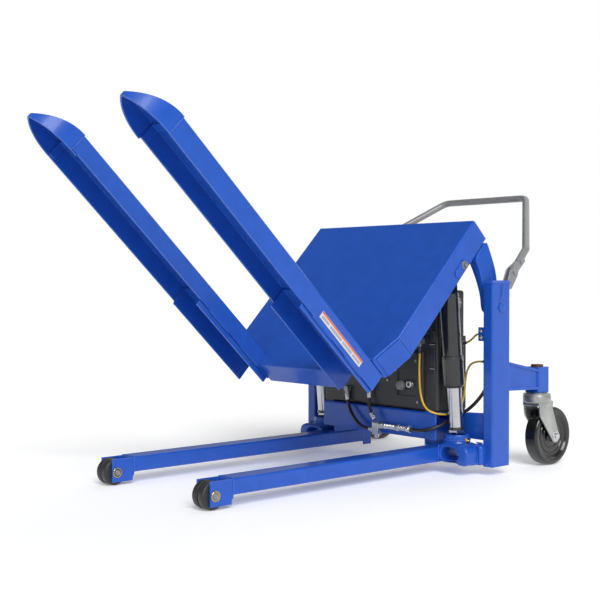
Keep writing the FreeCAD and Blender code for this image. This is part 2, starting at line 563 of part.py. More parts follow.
def make_hydraulics():
    y, z = HOSE_LEFT[0][1], HOSE_LEFT[0][2]
    tee = fuse(block((8, 40), (y - 11, y + 11), (z - 34, z + 10)), rod_x((40, 78), y, z, 9.5),
               rod_x((78, 120), y, z, 7.5), rod_z(24, y, (z - 46, z - 34), 9.0),
               block((-4, 8), (y - 9, y + 9), (z - 26, z - 8)))
    end = V(*HOSE_SUPPLY[-1])
    back = (V(*HOSE_SUPPLY[-2]) - end).normalize()
    tee = fuse(tee, Part.makeCylinder(8.5, 24, end - back * 24, back))
    coupling = fuse(rod_x((120, 136), y, z, 11.0), rod_x((136, 168), y, z, 8.5), rod_x((168, 186), y, z, 10.5))
    keep("hose_fittings", Part.makeCompound([tee, coupling]))


def make_switch():
    x, y, z = (388.0, POST_X[0]), (432.0, 470.0), (444.0, 490.0)
    keep("switch_bracket", fuse(block(x, (y[0], y[0] + 4), z), block((x[1] - 4, x[1]), y, z)))
    body = block((x[0] + 2, x[1] - 4), (y[0] + 4, y[1] - 2), (z[0] + 6, z[1] - 6))
    at_y, at_z = SWITCH_LEAD[0][1], SWITCH_LEAD[0][2]
    plug = fuse(rod_x((376.0, x[0] + 2), at_y, at_z, 6.0), rod_x((382.0, x[0]), at_y, at_z, 8.5))
    keep("limit_switch", Part.makeCompound([body, plug]))


# ---- push handle ----
def make_handle():
    py, pz = HANDLE_PIN
    rise = math.radians(34.7)

    def on_plane(x, run):
        """A point of the hoop's own plane, a run of travel away from the fold pin."""
        return V(x, py + run * math.cos(rise), pz + 8 + run * math.sin(rise))

    ends = [on_plane(HANDLE_X, 40), on_plane(HANDLE_X - 19, 122), on_plane(197, 474)]
    points = ends + [V(-p.x, p.y, p.z) for p in reversed(ends)]
    edges, at = [], points[0]
    for i in range(1, len(points) - 1):
        a, b = (points[i - 1] - points[i]).normalize(), (points[i + 1] - points[i]).normalize()
        half_turn = (math.pi - a.getAngle(b)) / 2
        bend = 46.0
        cut = bend * math.tan(half_turn)
        middle = points[i] + (a + b).normalize() * (bend / math.cos(half_turn) - bend)
        edges.append(Part.LineSegment(at, points[i] + a * cut).toShape())
        edges.append(Part.Arc(points[i] + a * cut, middle, points[i] + b * cut).toShape())
        at = points[i] + b * cut
    edges.append(Part.LineSegment(at, points[-1]).toShape())
    ring = Part.Wire(Part.makeCircle(HANDLE_R, points[0], points[1] - points[0]))
    hoop = Part.Wire(edges).makePipeShell([ring], True, False, 2)
    tongues = []
    for side in (1, -1):
        x = sorted((side * (HANDLE_X - 5), side * (HANDLE_X + 5)))
        tongue = plate_x([(py - 13, pz - 14), (py + 12, pz - 14), (py + 66, pz + 36), (py + 54, pz + 56),
                          (py - 13, pz + 14)], x)
        tongues.append(tongue.cut(rod_x((x[0] - 1, x[1] + 1), py, pz, 6.0 + RUN)))
    keep("push_handle", fuse(hoop, *tongues))

    ear = [(POST_Y[1], 614), (POST_Y[1] + 20, 618), (py + 17, pz - 16), (py + 24, pz + 6), (py + 4, pz + 22),
           (py - 20, pz + 6), (POST_Y[1], 650)]
    ears = [plate_x(ear, (HANDLE_X + a, HANDLE_X + a + 4)) for a in (-10.0, 6.0)]
    back = block((HANDLE_X - 10, HANDLE_X + 10), (POST_Y[1], POST_Y[1] + 4), (602, 650))
    bracket = fuse(*ears, back).cut(rod_x((HANDLE_X - 20, HANDLE_X + 20), py, pz, 6.0))
    pin = fuse(rod_x((HANDLE_X - 14, HANDLE_X + 13), py, pz, 6.0), bolt_x(HANDLE_X + 10, py, pz, 9.0, 6.0, 1),
               bolt_x(HANDLE_X - 10, py, pz, 9.0, 6.0, -1))
    screw = hex_y(HANDLE_X, POST_Y[1] + 4, 616, 5.0, 5.0, 1)
    keep_both("handle_brackets", Part.makeCompound([bracket, pin, screw]))


def make_label():
    label = block((FORK_X[1], FORK_X[1] + 0.6), (-25.0, 204.0), (54.0, 77.5))
    keep("side_label", tilted(label))


# ---- cords: leads and hoses that hang between their ends ----
def make_cords():
    keep("socket_lead", cord(SOCKET_LEAD, LEAD_R, "socket_lead"))
    keep("switch_lead", cord(SWITCH_LEAD, LEAD_R, "switch_lead"))
    keep("hose_left", cord(HOSE_LEFT, HOSE_R, "hose_left"))
    keep("hose_right", cord(HOSE_RIGHT, HOSE_R, "hose_right"))
    keep("hose_supply", cord(HOSE_SUPPLY, HOSE_R, "hose_supply"))
    x, y, z = SOCKET_LEAD[0]
    glands = [fuse(block((x - 9, x + 9), (y - 9, BOX_Y[0]), (z + 8, z + 26)), rod_z(x, y, (z, z + 8), 7.0))]
    for x, y, z in (HOSE_SUPPLY[0], HOSE_RIGHT[-1]):
        elbow = block((x - 9, x + 9), (y - 9, BOX_Y[0] - 9), (z + 12, z + 30))
        glands.append(fuse(elbow, rod_z(x, y, (z, z + 12), 8.5)))
    glands += [rod_x((POST_X[0] - 5, POST_X[0]), at[1], at[2], 13.0) for at in (SOCKET_LEAD[-1], HOSE_LEFT[-1])]
    glands.append(rod_x((BOX_HALF, BOX_HALF + 5), SWITCH_LEAD[-1][1], SWITCH_LEAD[-1][2], 9.0))
    keep("cord_glands", Part.makeCompound(glands))


def make_all():
    make_legs()
    make_posts()
    make_outriggers()
    make_cross_members()
    make_casters()
    make_load_rollers()
    make_forks()
    make_back()
    make_pivot_arms()
    make_cylinders()
    make_power_unit()
    make_hydraulics()
    make_switch()
    make_handle()
    make_label()
    make_cords()


make_all()
os.makedirs("parts", exist_ok=True)
low, high = V(1e9, 1e9, 1e9), V(-1e9, -1e9, -1e9)
for name, shape in parts.items():
    if not shape.isValid() or not shape.Solids:
        print("BAD", name, shape.isValid(), len(shape.Solids))
    box = shape.BoundBox
    low = V(min(low.x, box.XMin), min(low.y, box.YMin), min(low.z, box.ZMin))
    high = V(max(high.x, box.XMax), max(high.y, box.YMax), max(high.z, box.ZMax))
    shape.exportStep(f"parts/{name}.step")
print(len(parts), "nodes; box", [round(v, 2) for v in (*low, *high)])
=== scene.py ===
# %% [markdown]
# # A portable container tilter
# The machine straddles a pallet with two low legs, takes a crate on its two hollow forks and
# turns it on its back with two hydraulic cylinders. The engineering model brings every moving
# body in its place, so this script only adds what a maker's eye looks for: paint, cast and
# moulded surfaces, weld beads, hoses and leads, and turned parts.

# %% Load the frame
import json
import math

import bmesh
import bpy
import numpy as np
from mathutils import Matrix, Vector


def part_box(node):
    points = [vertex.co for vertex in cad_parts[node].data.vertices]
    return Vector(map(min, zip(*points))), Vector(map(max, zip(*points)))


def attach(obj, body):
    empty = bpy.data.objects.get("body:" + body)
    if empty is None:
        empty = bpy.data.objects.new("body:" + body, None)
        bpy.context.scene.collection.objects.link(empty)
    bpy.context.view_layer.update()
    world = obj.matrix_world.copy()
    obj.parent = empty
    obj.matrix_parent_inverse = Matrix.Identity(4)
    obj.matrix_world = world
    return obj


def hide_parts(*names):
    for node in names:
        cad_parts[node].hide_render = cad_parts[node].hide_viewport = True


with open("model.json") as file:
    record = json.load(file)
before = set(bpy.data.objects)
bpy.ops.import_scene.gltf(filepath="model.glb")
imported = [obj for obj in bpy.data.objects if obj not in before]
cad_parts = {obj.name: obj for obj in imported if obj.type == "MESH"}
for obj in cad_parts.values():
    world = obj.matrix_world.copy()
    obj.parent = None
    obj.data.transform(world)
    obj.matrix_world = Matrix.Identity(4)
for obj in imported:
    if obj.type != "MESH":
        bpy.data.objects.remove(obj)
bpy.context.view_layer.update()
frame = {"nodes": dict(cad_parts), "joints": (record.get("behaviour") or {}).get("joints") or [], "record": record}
nodes = frame["nodes"]
joints = {joint["name"]: joint for joint in frame["joints"]}

# %% [markdown]
# The routes of hoses and leads are written in the millimetres of the workshop drawing, whose
# zero lies ahead of the middle of the machine. One small function turns any drawing point into
# the metres of the frame.

# %% Drawing points to metres
DRAWING_MIDDLE = 38.77
MM = 0.001


def at(x, y, z):
    """A drawing point in millimetres as a frame point in metres: subtract the middle, then scale."""
    return np.array([x, y - DRAWING_MIDDLE, z]) * MM


def middle(node):
    """The middle of a node's box."""
    low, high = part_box(node)
    return (np.array(low) + np.array(high)) / 2


# %% [markdown]
# ## Camera
# A long lens from the operator's left front, a little above the forks' pivot, keeps the legs
# nearly parallel. The angle is a turn about Z and a slight look down.

# %% Camera
LENS = 66.61
CAMERA_PLACE = (2.7705, -2.4969, 0.647)
LOOK_DOWN, TURN = math.radians(1.03), math.radians(48.63)
camera_data = bpy.data.cameras.new("studio_camera")
camera_data.lens = LENS
camera_data.sensor_width = 36.0
camera_data.clip_end = 60.0
camera = bpy.data.objects.new("studio_camera", camera_data)
camera.location = CAMERA_PLACE
camera.rotation_euler = (math.radians(90) - LOOK_DOWN, 0.0, TURN)
bpy.context.scene.collection.objects.link(camera)
bpy.context.scene.camera = camera

# %% [markdown]
# ## Hoses and leads
# A hose is one smooth line with a round section. A NURBS curve through few control points bends
# the way rubber does, with no kinks, and a round bevel gives it thickness. The routes are chosen
# one by one: out of a fitting, down under their own weight, round the shelf end, behind the
# cylinder's rod and up to the post.

# %% Routes
SOCKET_LEAD = [(215, 334, 422), (215, 334, 396), (214, 333, 366), (215, 332, 332), (216, 332, 300), (220, 331, 270),
               (229, 329, 243), (243, 327, 221), (264, 328, 206), (283, 344, 198), (289, 370, 194), (288, 400, 193),
               (289, 430, 198), (293, 458, 219), (295, 470, 248), (295, 475, 280), (297, 476, 311), (306, 474, 341),
               (325, 470, 362), (352, 464, 371), (382, 460, 374), (409, 458, 372)]
SWITCH_LEAD = [(376, 458, 467), (361, 461, 465), (345, 467, 458), (327, 473, 446), (307, 477, 435), (285, 478, 430)]
HOSE_LEFT = [(186, 320, 138), (208, 320, 138), (229, 318, 138), (249, 317, 141), (268, 324, 146), (282, 339, 152),
             (290, 358, 159), (290, 380, 166), (289, 406, 174), (296, 432, 184), (314, 457, 200), (340, 468, 224),
             (366, 474, 254), (388, 477, 287), (409, 477, 315)]
HOSE_RIGHT = [(-4, 320, 121), (-32, 320, 121), (-62, 320, 131), (-90, 322, 151), (-115, 326, 174), (-131, 330, 203),
              (-136, 331, 233)]
HOSE_SUPPLY = [(-19, 327, 250), (-19, 326, 228), (-16, 323, 205), (-6, 320, 182), (10, 320, 162)]
LEAD_RADIUS, HOSE_RADIUS = 0.0035, 0.006


# %% Lay one cord
def lay_cord(name, route, radius, node):
    """A NURBS line of order 3 through the route's control points, with a round section."""
    curve = bpy.data.curves.new(name, "CURVE")
    curve.dimensions = "3D"
    spline = curve.splines.new("NURBS")
    spline.points.add(len(route) - 1)
    for point, place in zip(spline.points, route):
        point.co = (*at(*place), 1.0)
        point.radius = radius
    spline.order_u = 3
    spline.use_endpoint_u = True
    spline.resolution_u = 10
    curve.bevel_depth = 1.0
    curve.bevel_resolution = 6
    curve.use_fill_caps = True
    piece = bpy.data.objects.new(name, curve)
    bpy.context.scene.collection.objects.link(piece)
    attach(piece, "frame")
    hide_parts(node)
    return piece


cords = {
    "yellow_pvc": [lay_cord("yellow_socket_lead", SOCKET_LEAD, LEAD_RADIUS, "socket_lead"),
                   lay_cord("yellow_switch_lead", SWITCH_LEAD, LEAD_RADIUS, "switch_lead")],
    "hose_rubber": [lay_cord("pressure_hose", HOSE_LEFT, HOSE_RADIUS, "hose_left"),
                    lay_cord("return_hose", HOSE_RIGHT, HOSE_RADIUS, "hose_right"),
                    lay_cord("supply_hose", HOSE_SUPPLY, HOSE_RADIUS, "hose_supply")],
}
print("cords", sum(len(group) for group in cords.values()))

# %% [markdown]
# ## Finishes
# Each finish is a Principled shader fed by small node groups. A group is a finish effect that
# several materials share: soft edges, orange peel, moulded grain, dust. Building it once and
# giving it named inputs keeps every finish readable, and each material sets its own values.

# %% Node helpers
def new_group(name, inputs, outputs):
    """An empty shader node group with named inputs (name, kind, default) and outputs (name, kind)."""
    group = bpy.data.node_groups.new(name, "ShaderNodeTree")
    for label, kind, default in inputs:
        socket = group.interface.new_socket(label, in_out="INPUT", socket_type=kind)
        socket.default_value = default
    for label, kind in outputs:
        group.interface.new_socket(label, in_out="OUTPUT", socket_type=kind)
    start = group.nodes.new("NodeGroupInput")
    end = group.nodes.new("NodeGroupOutput")
    return group, start, end


def add_node(tree, kind, links=None, **settings):
    """Add a node, set its properties and plain inputs, and link the sockets named in links."""
    node = tree.nodes.new(kind)
    for key, value in settings.items():
        if key in node.inputs.keys():
            node.inputs[key].default_value = value
        else:
            setattr(node, key, value)
    for key, source in (links or {}).items():
        tree.links.new(source, node.inputs[key])
    return node


def ramp(tree, source, stops):
    """A colour ramp whose stops are (position, grey value)."""
    node = tree.nodes.new("ShaderNodeValToRGB")
    tree.links.new(source, node.inputs[0])
    elements = node.color_ramp.elements
    for element, (position, value) in zip(elements, stops[:2]):
        element.position = position
        element.color = (value, value, value, 1)
    for position, value in stops[2:]:
        elements.new(position).color = (value, value, value, 1)
    return node.outputs[0]


FLOAT, VECTOR = "NodeSocketFloat", "NodeSocketVector"

# %% [markdown]
# Real sheet metal never has a knife edge, and its rounded corners catch the light. The Bevel node
# gives a normal that is rounded near edges, and how far it differs from the flat normal tells
# where the edges are. The finishes use that edge mask to paint a highlight into the base colour.

# %% Group: soft edges and highlight mask
soft_edges_and_highlight, start, end = new_group(
    "soft_edges_and_highlight", [("Radius", FLOAT, 0.002)], [("Normal", VECTOR), ("Edge highlight", FLOAT)])
bevel = add_node(soft_edges_and_highlight, "ShaderNodeBevel", {"Radius": start.outputs["Radius"]}, samples=4)
flat = add_node(soft_edges_and_highlight, "ShaderNodeNewGeometry")
agree = add_node(soft_edges_and_highlight, "ShaderNodeVectorMath", operation="DOT_PRODUCT")
soft_edges_and_highlight.links.new(bevel.outputs["Normal"], agree.inputs[0])
soft_edges_and_highlight.links.new(flat.outputs["Normal"], agree.inputs[1])
# This edge mask drives the painted highlight in the finishes' base colour.
edge = add_node(soft_edges_and_highlight, "ShaderNodeMapRange", {"Value": agree.outputs["Value"]})
edge.inputs["From Min"].default_value = 0.995
edge.inputs["From Max"].default_value = 0.80
soft_edges_and_highlight.links.new(bevel.outputs["Normal"], end.inputs["Normal"])
soft_edges_and_highlight.links.new(edge.outputs["Result"], end.inputs["Edge highlight"])

# %% [markdown]
# Powder coat is sprayed dry and melted in an oven, which leaves a faint orange peel a few
# millimetres wide. Two noises on object coordinates, one broad and one fine, make its height.

# %% Group: orange peel
orange_peel, start, end = new_group(
    "orange_peel", [("Scale", FLOAT, 260.0), ("Waviness", FLOAT, 0.35)], [("Height", FLOAT), ("Mottle", FLOAT)])
place = add_node(orange_peel, "ShaderNodeTexCoord")
fine = add_node(orange_peel, "ShaderNodeTexNoise",
                {"Vector": place.outputs["Object"], "Scale": start.outputs["Scale"]}, Detail=2.0)
broad = add_node(orange_peel, "ShaderNodeTexNoise", {"Vector": place.outputs["Object"]}, Scale=22.0, Detail=3.0)
blend = add_node(orange_peel, "ShaderNodeMix", {"Factor": start.outputs["Waviness"]}, data_type="FLOAT")
orange_peel.links.new(fine.outputs["Fac"], blend.inputs["A"])
orange_peel.links.new(broad.outputs["Fac"], blend.inputs["B"])
orange_peel.links.new(blend.outputs["Result"], end.inputs["Height"])
orange_peel.links.new(broad.outputs["Fac"], end.inputs["Mottle"])

# %% [markdown]
# A machine that has stood in a workshop gathers a thin film of dust on faces that look up. The
# film is stronger where the true normal points to the sky, and a noise breaks it into patches.

# %% Group: workshop dust
workshop_dust, start, end = new_group("workshop_dust", [("Amount", FLOAT, 0.25)], [("Mask", FLOAT)])
flat = add_node(workshop_dust, "ShaderNodeNewGeometry")
upward = add_node(workshop_dust, "ShaderNodeSeparateXYZ", {"Vector": flat.outputs["Normal"]})
facing = add_node(workshop_dust, "ShaderNodeMapRange", {"Value": upward.outputs["Z"]})
facing.inputs["From Min"].default_value = 0.55
place = add_node(workshop_dust, "ShaderNodeTexCoord")
patches = add_node(workshop_dust, "ShaderNodeTexNoise", {"Vector": place.outputs["Object"]}, Scale=34.0, Detail=6.0)
speckle = ramp(workshop_dust, patches.outputs["Fac"], [(0.38, 0.1), (0.68, 1.0)])
covered = add_node(workshop_dust, "ShaderNodeMath", operation="MULTIPLY")
workshop_dust.links.new(facing.outputs["Result"], covered.inputs[0])
workshop_dust.links.new(speckle, covered.inputs[1])
scaled = add_node(workshop_dust, "ShaderNodeMath", operation="MULTIPLY")
workshop_dust.links.new(covered.outputs[0], scaled.inputs[0])
workshop_dust.links.new(start.outputs["Amount"], scaled.inputs[1])
workshop_dust.links.new(scaled.outputs[0], end.inputs["Mask"])

# %% [markdown]
# Moulded plastic comes out of a sandblasted tool, so it has a fine pebble grain. A Voronoi cell
# pattern mixed with noise gives rounded pebbles of uneven size.

# %% Group: moulded grain
moulded_grain, start, end = new_group(
    "moulded_grain", [("Scale", FLOAT, 900.0)], [("Height", FLOAT), ("Cloud", FLOAT)])
place = add_node(moulded_grain, "ShaderNodeTexCoord")
pebbles = add_node(moulded_grain, "ShaderNodeTexVoronoi",
                   {"Vector": place.outputs["Object"], "Scale": start.outputs["Scale"]})
cloud = add_node(moulded_grain, "ShaderNodeTexNoise", {"Vector": place.outputs["Object"]}, Scale=18.0, Detail=4.0)
moulded_grain.links.new(pebbles.outputs["Distance"], end.inputs["Height"])
moulded_grain.links.new(cloud.outputs["Fac"], end.inputs["Cloud"])


# %% [markdown]
# Most finishes share one recipe: a base colour with a painted highlight that turns it lighter on
# edges, broken up by a faint mottle and dulled by dust, and a bump on top of the softened edge
# normal. One function builds it, and each finish only names its values.

# %% Recipe for a finish
def use_group(tree, group, **values):
    """Place a node group and set its named inputs."""
    node = tree.nodes.new("ShaderNodeGroup")
    node.node_tree = group
    for key, value in values.items():
        node.inputs[key].default_value = value
    return node


def mix_colour(tree, factor, first, second):
    """Mix two colours; each may be a socket or a plain colour."""
    node = tree.nodes.new("ShaderNodeMix")
    node.data_type = "RGBA"
    tree.links.new(factor, node.inputs[0])
    for socket, value in ((node.inputs[6], first), (node.inputs[7], second)):
        if isinstance(value, bpy.types.NodeSocket):
            tree.links.new(value, socket)
        else:
            socket.default_value = (*value, 1.0)
    return node.outputs[2]


DUST_GREY = (0.34, 0.33, 0.32)
COAT_ROUGHNESS = 0.08


def finish_of(name, colour, edge_highlight_colour, rough, metallic=0.0, coat=0.0, radius=0.002, surface=orange_peel,
              scale=260.0, bump=0.05, dust=0.2, deep=0.9, rough_spread=0.08, gloss=0.5):
    """A finish: base colour with mottle, a painted edge highlight and dust; roughness with spread; bump on soft
    edges.
    """
    material = bpy.data.materials.new(name)
    material.use_nodes = True
    tree = material.node_tree
    shader = tree.nodes["Principled BSDF"]
    edges = use_group(tree, soft_edges_and_highlight, Radius=radius)
    relief = use_group(tree, surface, Scale=scale)
    film = use_group(tree, workshop_dust, Amount=dust)
    cloud = relief.outputs[1]
    dark = tuple(c * deep for c in colour)
    mottled = mix_colour(tree, ramp(tree, cloud, [(0.35, 0.0), (0.65, 1.0)]), dark, colour)
    # Painted highlight: the base colour turns to the lighter highlight colour on edges, standing in for light caught
    # by rounded corners.
    highlighted = mix_colour(tree, edges.outputs["Edge highlight"], mottled, edge_highlight_colour)
    dusty = mix_colour(tree, film.outputs["Mask"], highlighted, DUST_GREY)
    tree.links.new(dusty, shader.inputs["Base Color"])
    spread = add_node(tree, "ShaderNodeMapRange", {"Value": cloud})
    spread.inputs["To Min"].default_value = max(0.02, rough - rough_spread)
    spread.inputs["To Max"].default_value = rough + rough_spread
    dulled = add_node(tree, "ShaderNodeMath", {0: spread.outputs["Result"], 1: film.outputs["Mask"]},
                      operation="ADD")
    tree.links.new(dulled.outputs[0], shader.inputs["Roughness"])
    shader.inputs["Metallic"].default_value = metallic
    shader.inputs["Coat Weight"].default_value = coat
    shader.inputs["Coat Roughness"].default_value = COAT_ROUGHNESS
    shader.inputs["Specular IOR Level"].default_value = gloss
    lift = add_node(tree, "ShaderNodeBump", {"Height": relief.outputs["Height"], "Normal": edges.outputs["Normal"]},
                    Strength=bump, Distance=0.001)
    tree.links.new(lift.outputs["Normal"], shader.inputs["Normal"])
    return material


# %% [markdown]
# The finishes themselves. Blue powder coat is glossy with a clear skin, the cylinders' barrels
# have black enamel, their rods hard chrome, the yokes galvanising, and the handle a satin silver paint.

# %% Finishes
# The second colour of each finish is its painted edge highlight.
finishes = {
    "blue_paint": finish_of("blue_powder_coat", (0.0105, 0.086, 0.475), (0.070, 0.210, 0.76), 0.30, coat=0.20,
                            radius=0.003, bump=0.02, dust=0.02, rough_spread=0.05, gloss=0.36),
    "black_paint": finish_of("black_enamel", (0.010, 0.010, 0.012), (0.06, 0.06, 0.065), 0.16, coat=0.5,
                             bump=0.04, dust=0.08),
    "chrome": finish_of("hard_chrome", (0.54, 0.54, 0.55), (0.76, 0.76, 0.77), 0.11, metallic=1.0,
                        scale=700.0, bump=0.02, dust=0.02, rough_spread=0.03),
    "zinc": finish_of("zinc_plate", (0.31, 0.32, 0.31), (0.52, 0.52, 0.51), 0.42, metallic=0.75,
                      surface=moulded_grain, scale=420.0, bump=0.10, dust=0.10, deep=0.78),
    "silver_paint": finish_of("silver_paint", (0.27, 0.275, 0.285), (0.46, 0.47, 0.48), 0.38, metallic=0.30,
                              bump=0.08, dust=0.06),
    "black_plastic": finish_of("textured_plastic", (0.022, 0.023, 0.025), (0.07, 0.07, 0.075), 0.42,
                               surface=moulded_grain, scale=900.0, bump=0.14, dust=0.12),
    "battery_case": finish_of("battery_case", (0.014, 0.014, 0.015), (0.05, 0.05, 0.05), 0.25, dust=0.3),
    "phenolic": finish_of("phenolic_wheel", (0.008, 0.008, 0.008), (0.03, 0.03, 0.03), 0.20, coat=0.3,
                          surface=moulded_grain, scale=500.0, bump=0.05, dust=0.05, radius=0.0015),
    "roller_poly": finish_of("roller_nylon", (0.022, 0.022, 0.024), (0.07, 0.07, 0.075), 0.42,
                             surface=moulded_grain, scale=380.0, bump=0.22, dust=0.12),
    "hose_rubber": finish_of("hose_cover", (0.012, 0.012, 0.013), (0.03, 0.03, 0.03), 0.38,
                             surface=moulded_grain, scale=1400.0, bump=0.10, dust=0.06, radius=0.0004),
    "yellow_pvc": finish_of("yellow_jacket", (0.66, 0.42, 0.025), (0.78, 0.55, 0.06), 0.34,
                            bump=0.04, dust=0.03, radius=0.0004),
    "brass": finish_of("machined_brass", (0.62, 0.43, 0.16), (0.80, 0.62, 0.30), 0.28, metallic=1.0,
                       scale=800.0, bump=0.05, radius=0.0006),
    "label": finish_of("sticker_vinyl", (0.62, 0.63, 0.65), (0.70, 0.71, 0.73), 0.32, coat=0.3,
                       bump=0.02, dust=0.02, radius=0.0003),
    "rust_cap": finish_of("rusty_cap", (0.16, 0.075, 0.035), (0.30, 0.14, 0.06), 0.72, metallic=0.2,
                          surface=moulded_grain, scale=300.0, bump=0.45, dust=0.20, deep=0.55),
    "grey_plastic": finish_of("grey_plastic", (0.17, 0.175, 0.18), (0.34, 0.35, 0.36), 0.40,
                              surface=moulded_grain, scale=900.0, bump=0.10),
    "galvanised": finish_of("galvanised_plate", (0.50, 0.51, 0.49), (0.74, 0.74, 0.73), 0.34, metallic=0.8,
                                  surface=moulded_grain, scale=260.0, bump=0.08, dust=0.06, deep=0.70),
    "bright_zinc": finish_of("bright_zinc", (0.62, 0.63, 0.64), (0.86, 0.86, 0.86), 0.24, metallic=0.9,
                                   scale=600.0, bump=0.06, dust=0.04),
    "strip_vinyl": finish_of("orange_vinyl", (0.72, 0.13, 0.02), (0.78, 0.20, 0.05), 0.34, bump=0.02,
                                    dust=0.02, radius=0.0003),
    "panel_vinyl": finish_of("printed_vinyl", (0.36, 0.36, 0.38), (0.45, 0.45, 0.47), 0.34, bump=0.02,
                                    dust=0.02, radius=0.0003),
}
slot_of = {entry["node"]: entry["material_slot"] for entry in frame["record"]["subparts"]}
for name, node in nodes.items():
    node.data.materials.clear()
    node.data.materials.append(finishes[slot_of[name]])
for slot, group in cords.items():
    for piece in group:
        piece.data.materials.append(finishes[slot])
print("finishes", len(finishes))

# %% [markdown]
# ## Surfaces from arrays
# Every added piece is a grid of points worked out by a formula: a turned part is a profile spun
# about an axis, a weld bead a round section carried along a line. One helper turns such grids
# into a mesh and puts the piece on the body it moves with.

# %% Grid to mesh
MERGE_DISTANCE = 1e-6
SHARP_ANGLE = math.radians(32)


def joined(name, grids, body, slot, caps=True, smooth=True, stand_for=(), finish=None):
    """One mesh from several grids of points (rows, columns, 3): quads between neighbours, closed
    round each row, with the first and last rows closed by caps. Doubles are merged, faces turned
    outwards, and the piece is shaded, painted and put on its body."""
    points, faces, base = [], [], 0
    for grid in grids:
        rows, columns = grid.shape[:2]
        row_start = base + columns * np.arange(rows - 1)[:, None]
        here = np.arange(columns)
        right = (here + 1) % columns
        quads = np.stack([row_start + here, row_start + right, row_start + columns + right,
                          row_start + columns + here], -1)
        faces += quads.reshape(-1, 4).tolist()
        if caps:
            faces.append(list(range(base, base + columns))[::-1])
            faces.append(list(range(base + (rows - 1) * columns, base + rows * columns)))
        points.append(grid.reshape(-1, 3))
        base += rows * columns
    mesh = bpy.data.meshes.new(name)
    mesh.from_pydata(np.concatenate(points).tolist(), [], faces)
    work = bmesh.new()
    work.from_mesh(mesh)
    bmesh.ops.remove_doubles(work, verts=work.verts, dist=MERGE_DISTANCE)
    bmesh.ops.recalc_face_normals(work, faces=work.faces)
    work.to_mesh(mesh)
    work.free()
    piece = bpy.data.objects.new(name, mesh)
    bpy.context.scene.collection.objects.link(piece)
    mesh.materials.append(finishes[finish or slot])
    if smooth:
        mesh.polygons.foreach_set("use_smooth", np.ones(len(mesh.polygons), bool))
        mesh.set_sharp_from_angle(angle=SHARP_ANGLE)
    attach(piece, body)
    if stand_for:
        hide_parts(*stand_for)
    return piece


def grid_piece(name, grid, body, slot, **options):
    """The same for a single grid."""
    return joined(name, [grid], body, slot, **options)


# %% [markdown]
# A turned part starts as a profile of (distance along the axis, radius). Spinning it means
# multiplying each radius by the cosine and sine of every angle at once. A six-sided bolt head is
# the same idea with a radius that swells towards the corners.

# %% Turned and prismatic shapes
def frame_of(axis):
    """Three unit vectors: the axis and two square to it."""
    axis = np.array(axis, float) / np.linalg.norm(axis)
    helper = np.array([0.0, 0.0, 1.0]) if abs(axis[2]) < 0.9 else np.array([1.0, 0.0, 0.0])
    side = np.cross(helper, axis)
    side /= np.linalg.norm(side)
    return axis, side, np.cross(axis, side)


def turned(profile, centre, axis, segments=40):
    """Spin a profile of (along, radius) pairs in millimetres about an axis through centre."""
    profile = np.array(profile, float) * MM
    along, side, up = frame_of(axis)
    angle = np.linspace(0, 2 * np.pi, segments, endpoint=False)
    ring = np.outer(np.cos(angle), side) + np.outer(np.sin(angle), up)
    return (np.array(centre) + profile[:, None, 0:1] * along + profile[:, None, 1:2] * ring[None])


def hexagon(size, height, centre, axis, start=0.0, chamfer=0.6):
    """A hexagonal head: across-flats size, chamfered rim, standing along the axis, in millimetres."""
    angle = np.linspace(0, 2 * np.pi, 24, endpoint=False)
    corner = size / 2 / np.cos((angle + np.pi / 6) % (np.pi / 3) - np.pi / 6)
    levels = np.array([[start, 1.0], [start + height - chamfer, 1.0], [start + height, 0.93]])
    along, side, up = frame_of(axis)
    ring = (np.cos(angle) * corner)[:, None] * side + (np.sin(angle) * corner)[:, None] * up
    return np.array(centre) + MM * (levels[:, None, 0:1] * along + levels[:, None, 1:2] * ring[None])


def bolt_head(size, height, centre, axis):
    """A washer and a hexagonal head on it."""
    washer = turned([(0, size * 0.30), (0, size * 0.95), (1.6, size * 0.95), (1.8, size * 0.9), (1.8, size * 0.3)],
                    centre, axis, 28)
    return [washer, hexagon(size, height, centre, axis, start=1.7)]


def spaced(points, step):
    """Points along a line of corners, evenly spaced by about one step."""
    points = np.array(points, float)
    lengths = np.concatenate([[0], np.cumsum(np.linalg.norm(np.diff(points, axis=0), axis=1))])
    count = max(3, int(lengths[-1] / step) + 1)
    wanted = np.linspace(0, lengths[-1], count)
    return np.stack([np.interp(wanted, lengths, points[:, i]) for i in range(3)], -1), wanted


def bead(points, radius=0.0028, ripple=0.0036):
    """A weld bead along a line: a round section whose radius rises and falls once a ripple."""
    line, run = spaced(points, ripple / 4)
    tangent = np.gradient(line, axis=0)
    tangent /= np.linalg.norm(tangent, axis=1)[:, None]
    helper = np.where(np.abs(tangent[:, 2:3]) < 0.9, [[0.0, 0.0, 1.0]], [[1.0, 0.0, 0.0]])
    side = np.cross(tangent, helper)
    side /= np.linalg.norm(side, axis=1)[:, None]
    up = np.cross(tangent, side)
    swell = radius * (0.84 + 0.16 * np.abs(np.sin(np.pi * run / ripple))) * (1 + 0.07 * np.sin(run * 410.0))
    swell = swell * np.clip(np.minimum(run, run[-1] - run) / (1.5 * radius), 0.35, 1.0)
    angle = np.linspace(0, 2 * np.pi, 10, endpoint=False)
    ring = np.cos(angle)[None, :, None] * side[:, None] + np.sin(angle)[None, :, None] * up[:, None]
    return line[:, None] + swell[:, None, None] * ring


print("shape helpers ready")

# %% [markdown]
# ## Points on the chair and on the cylinders
# The chair is easiest to think of with its forks level, and the cylinders standing upright over
# their foot pins. One function turns a chair point into the resting pose about the pivot, and one
# direction, along the leaning rod, places the rings of the cylinders.

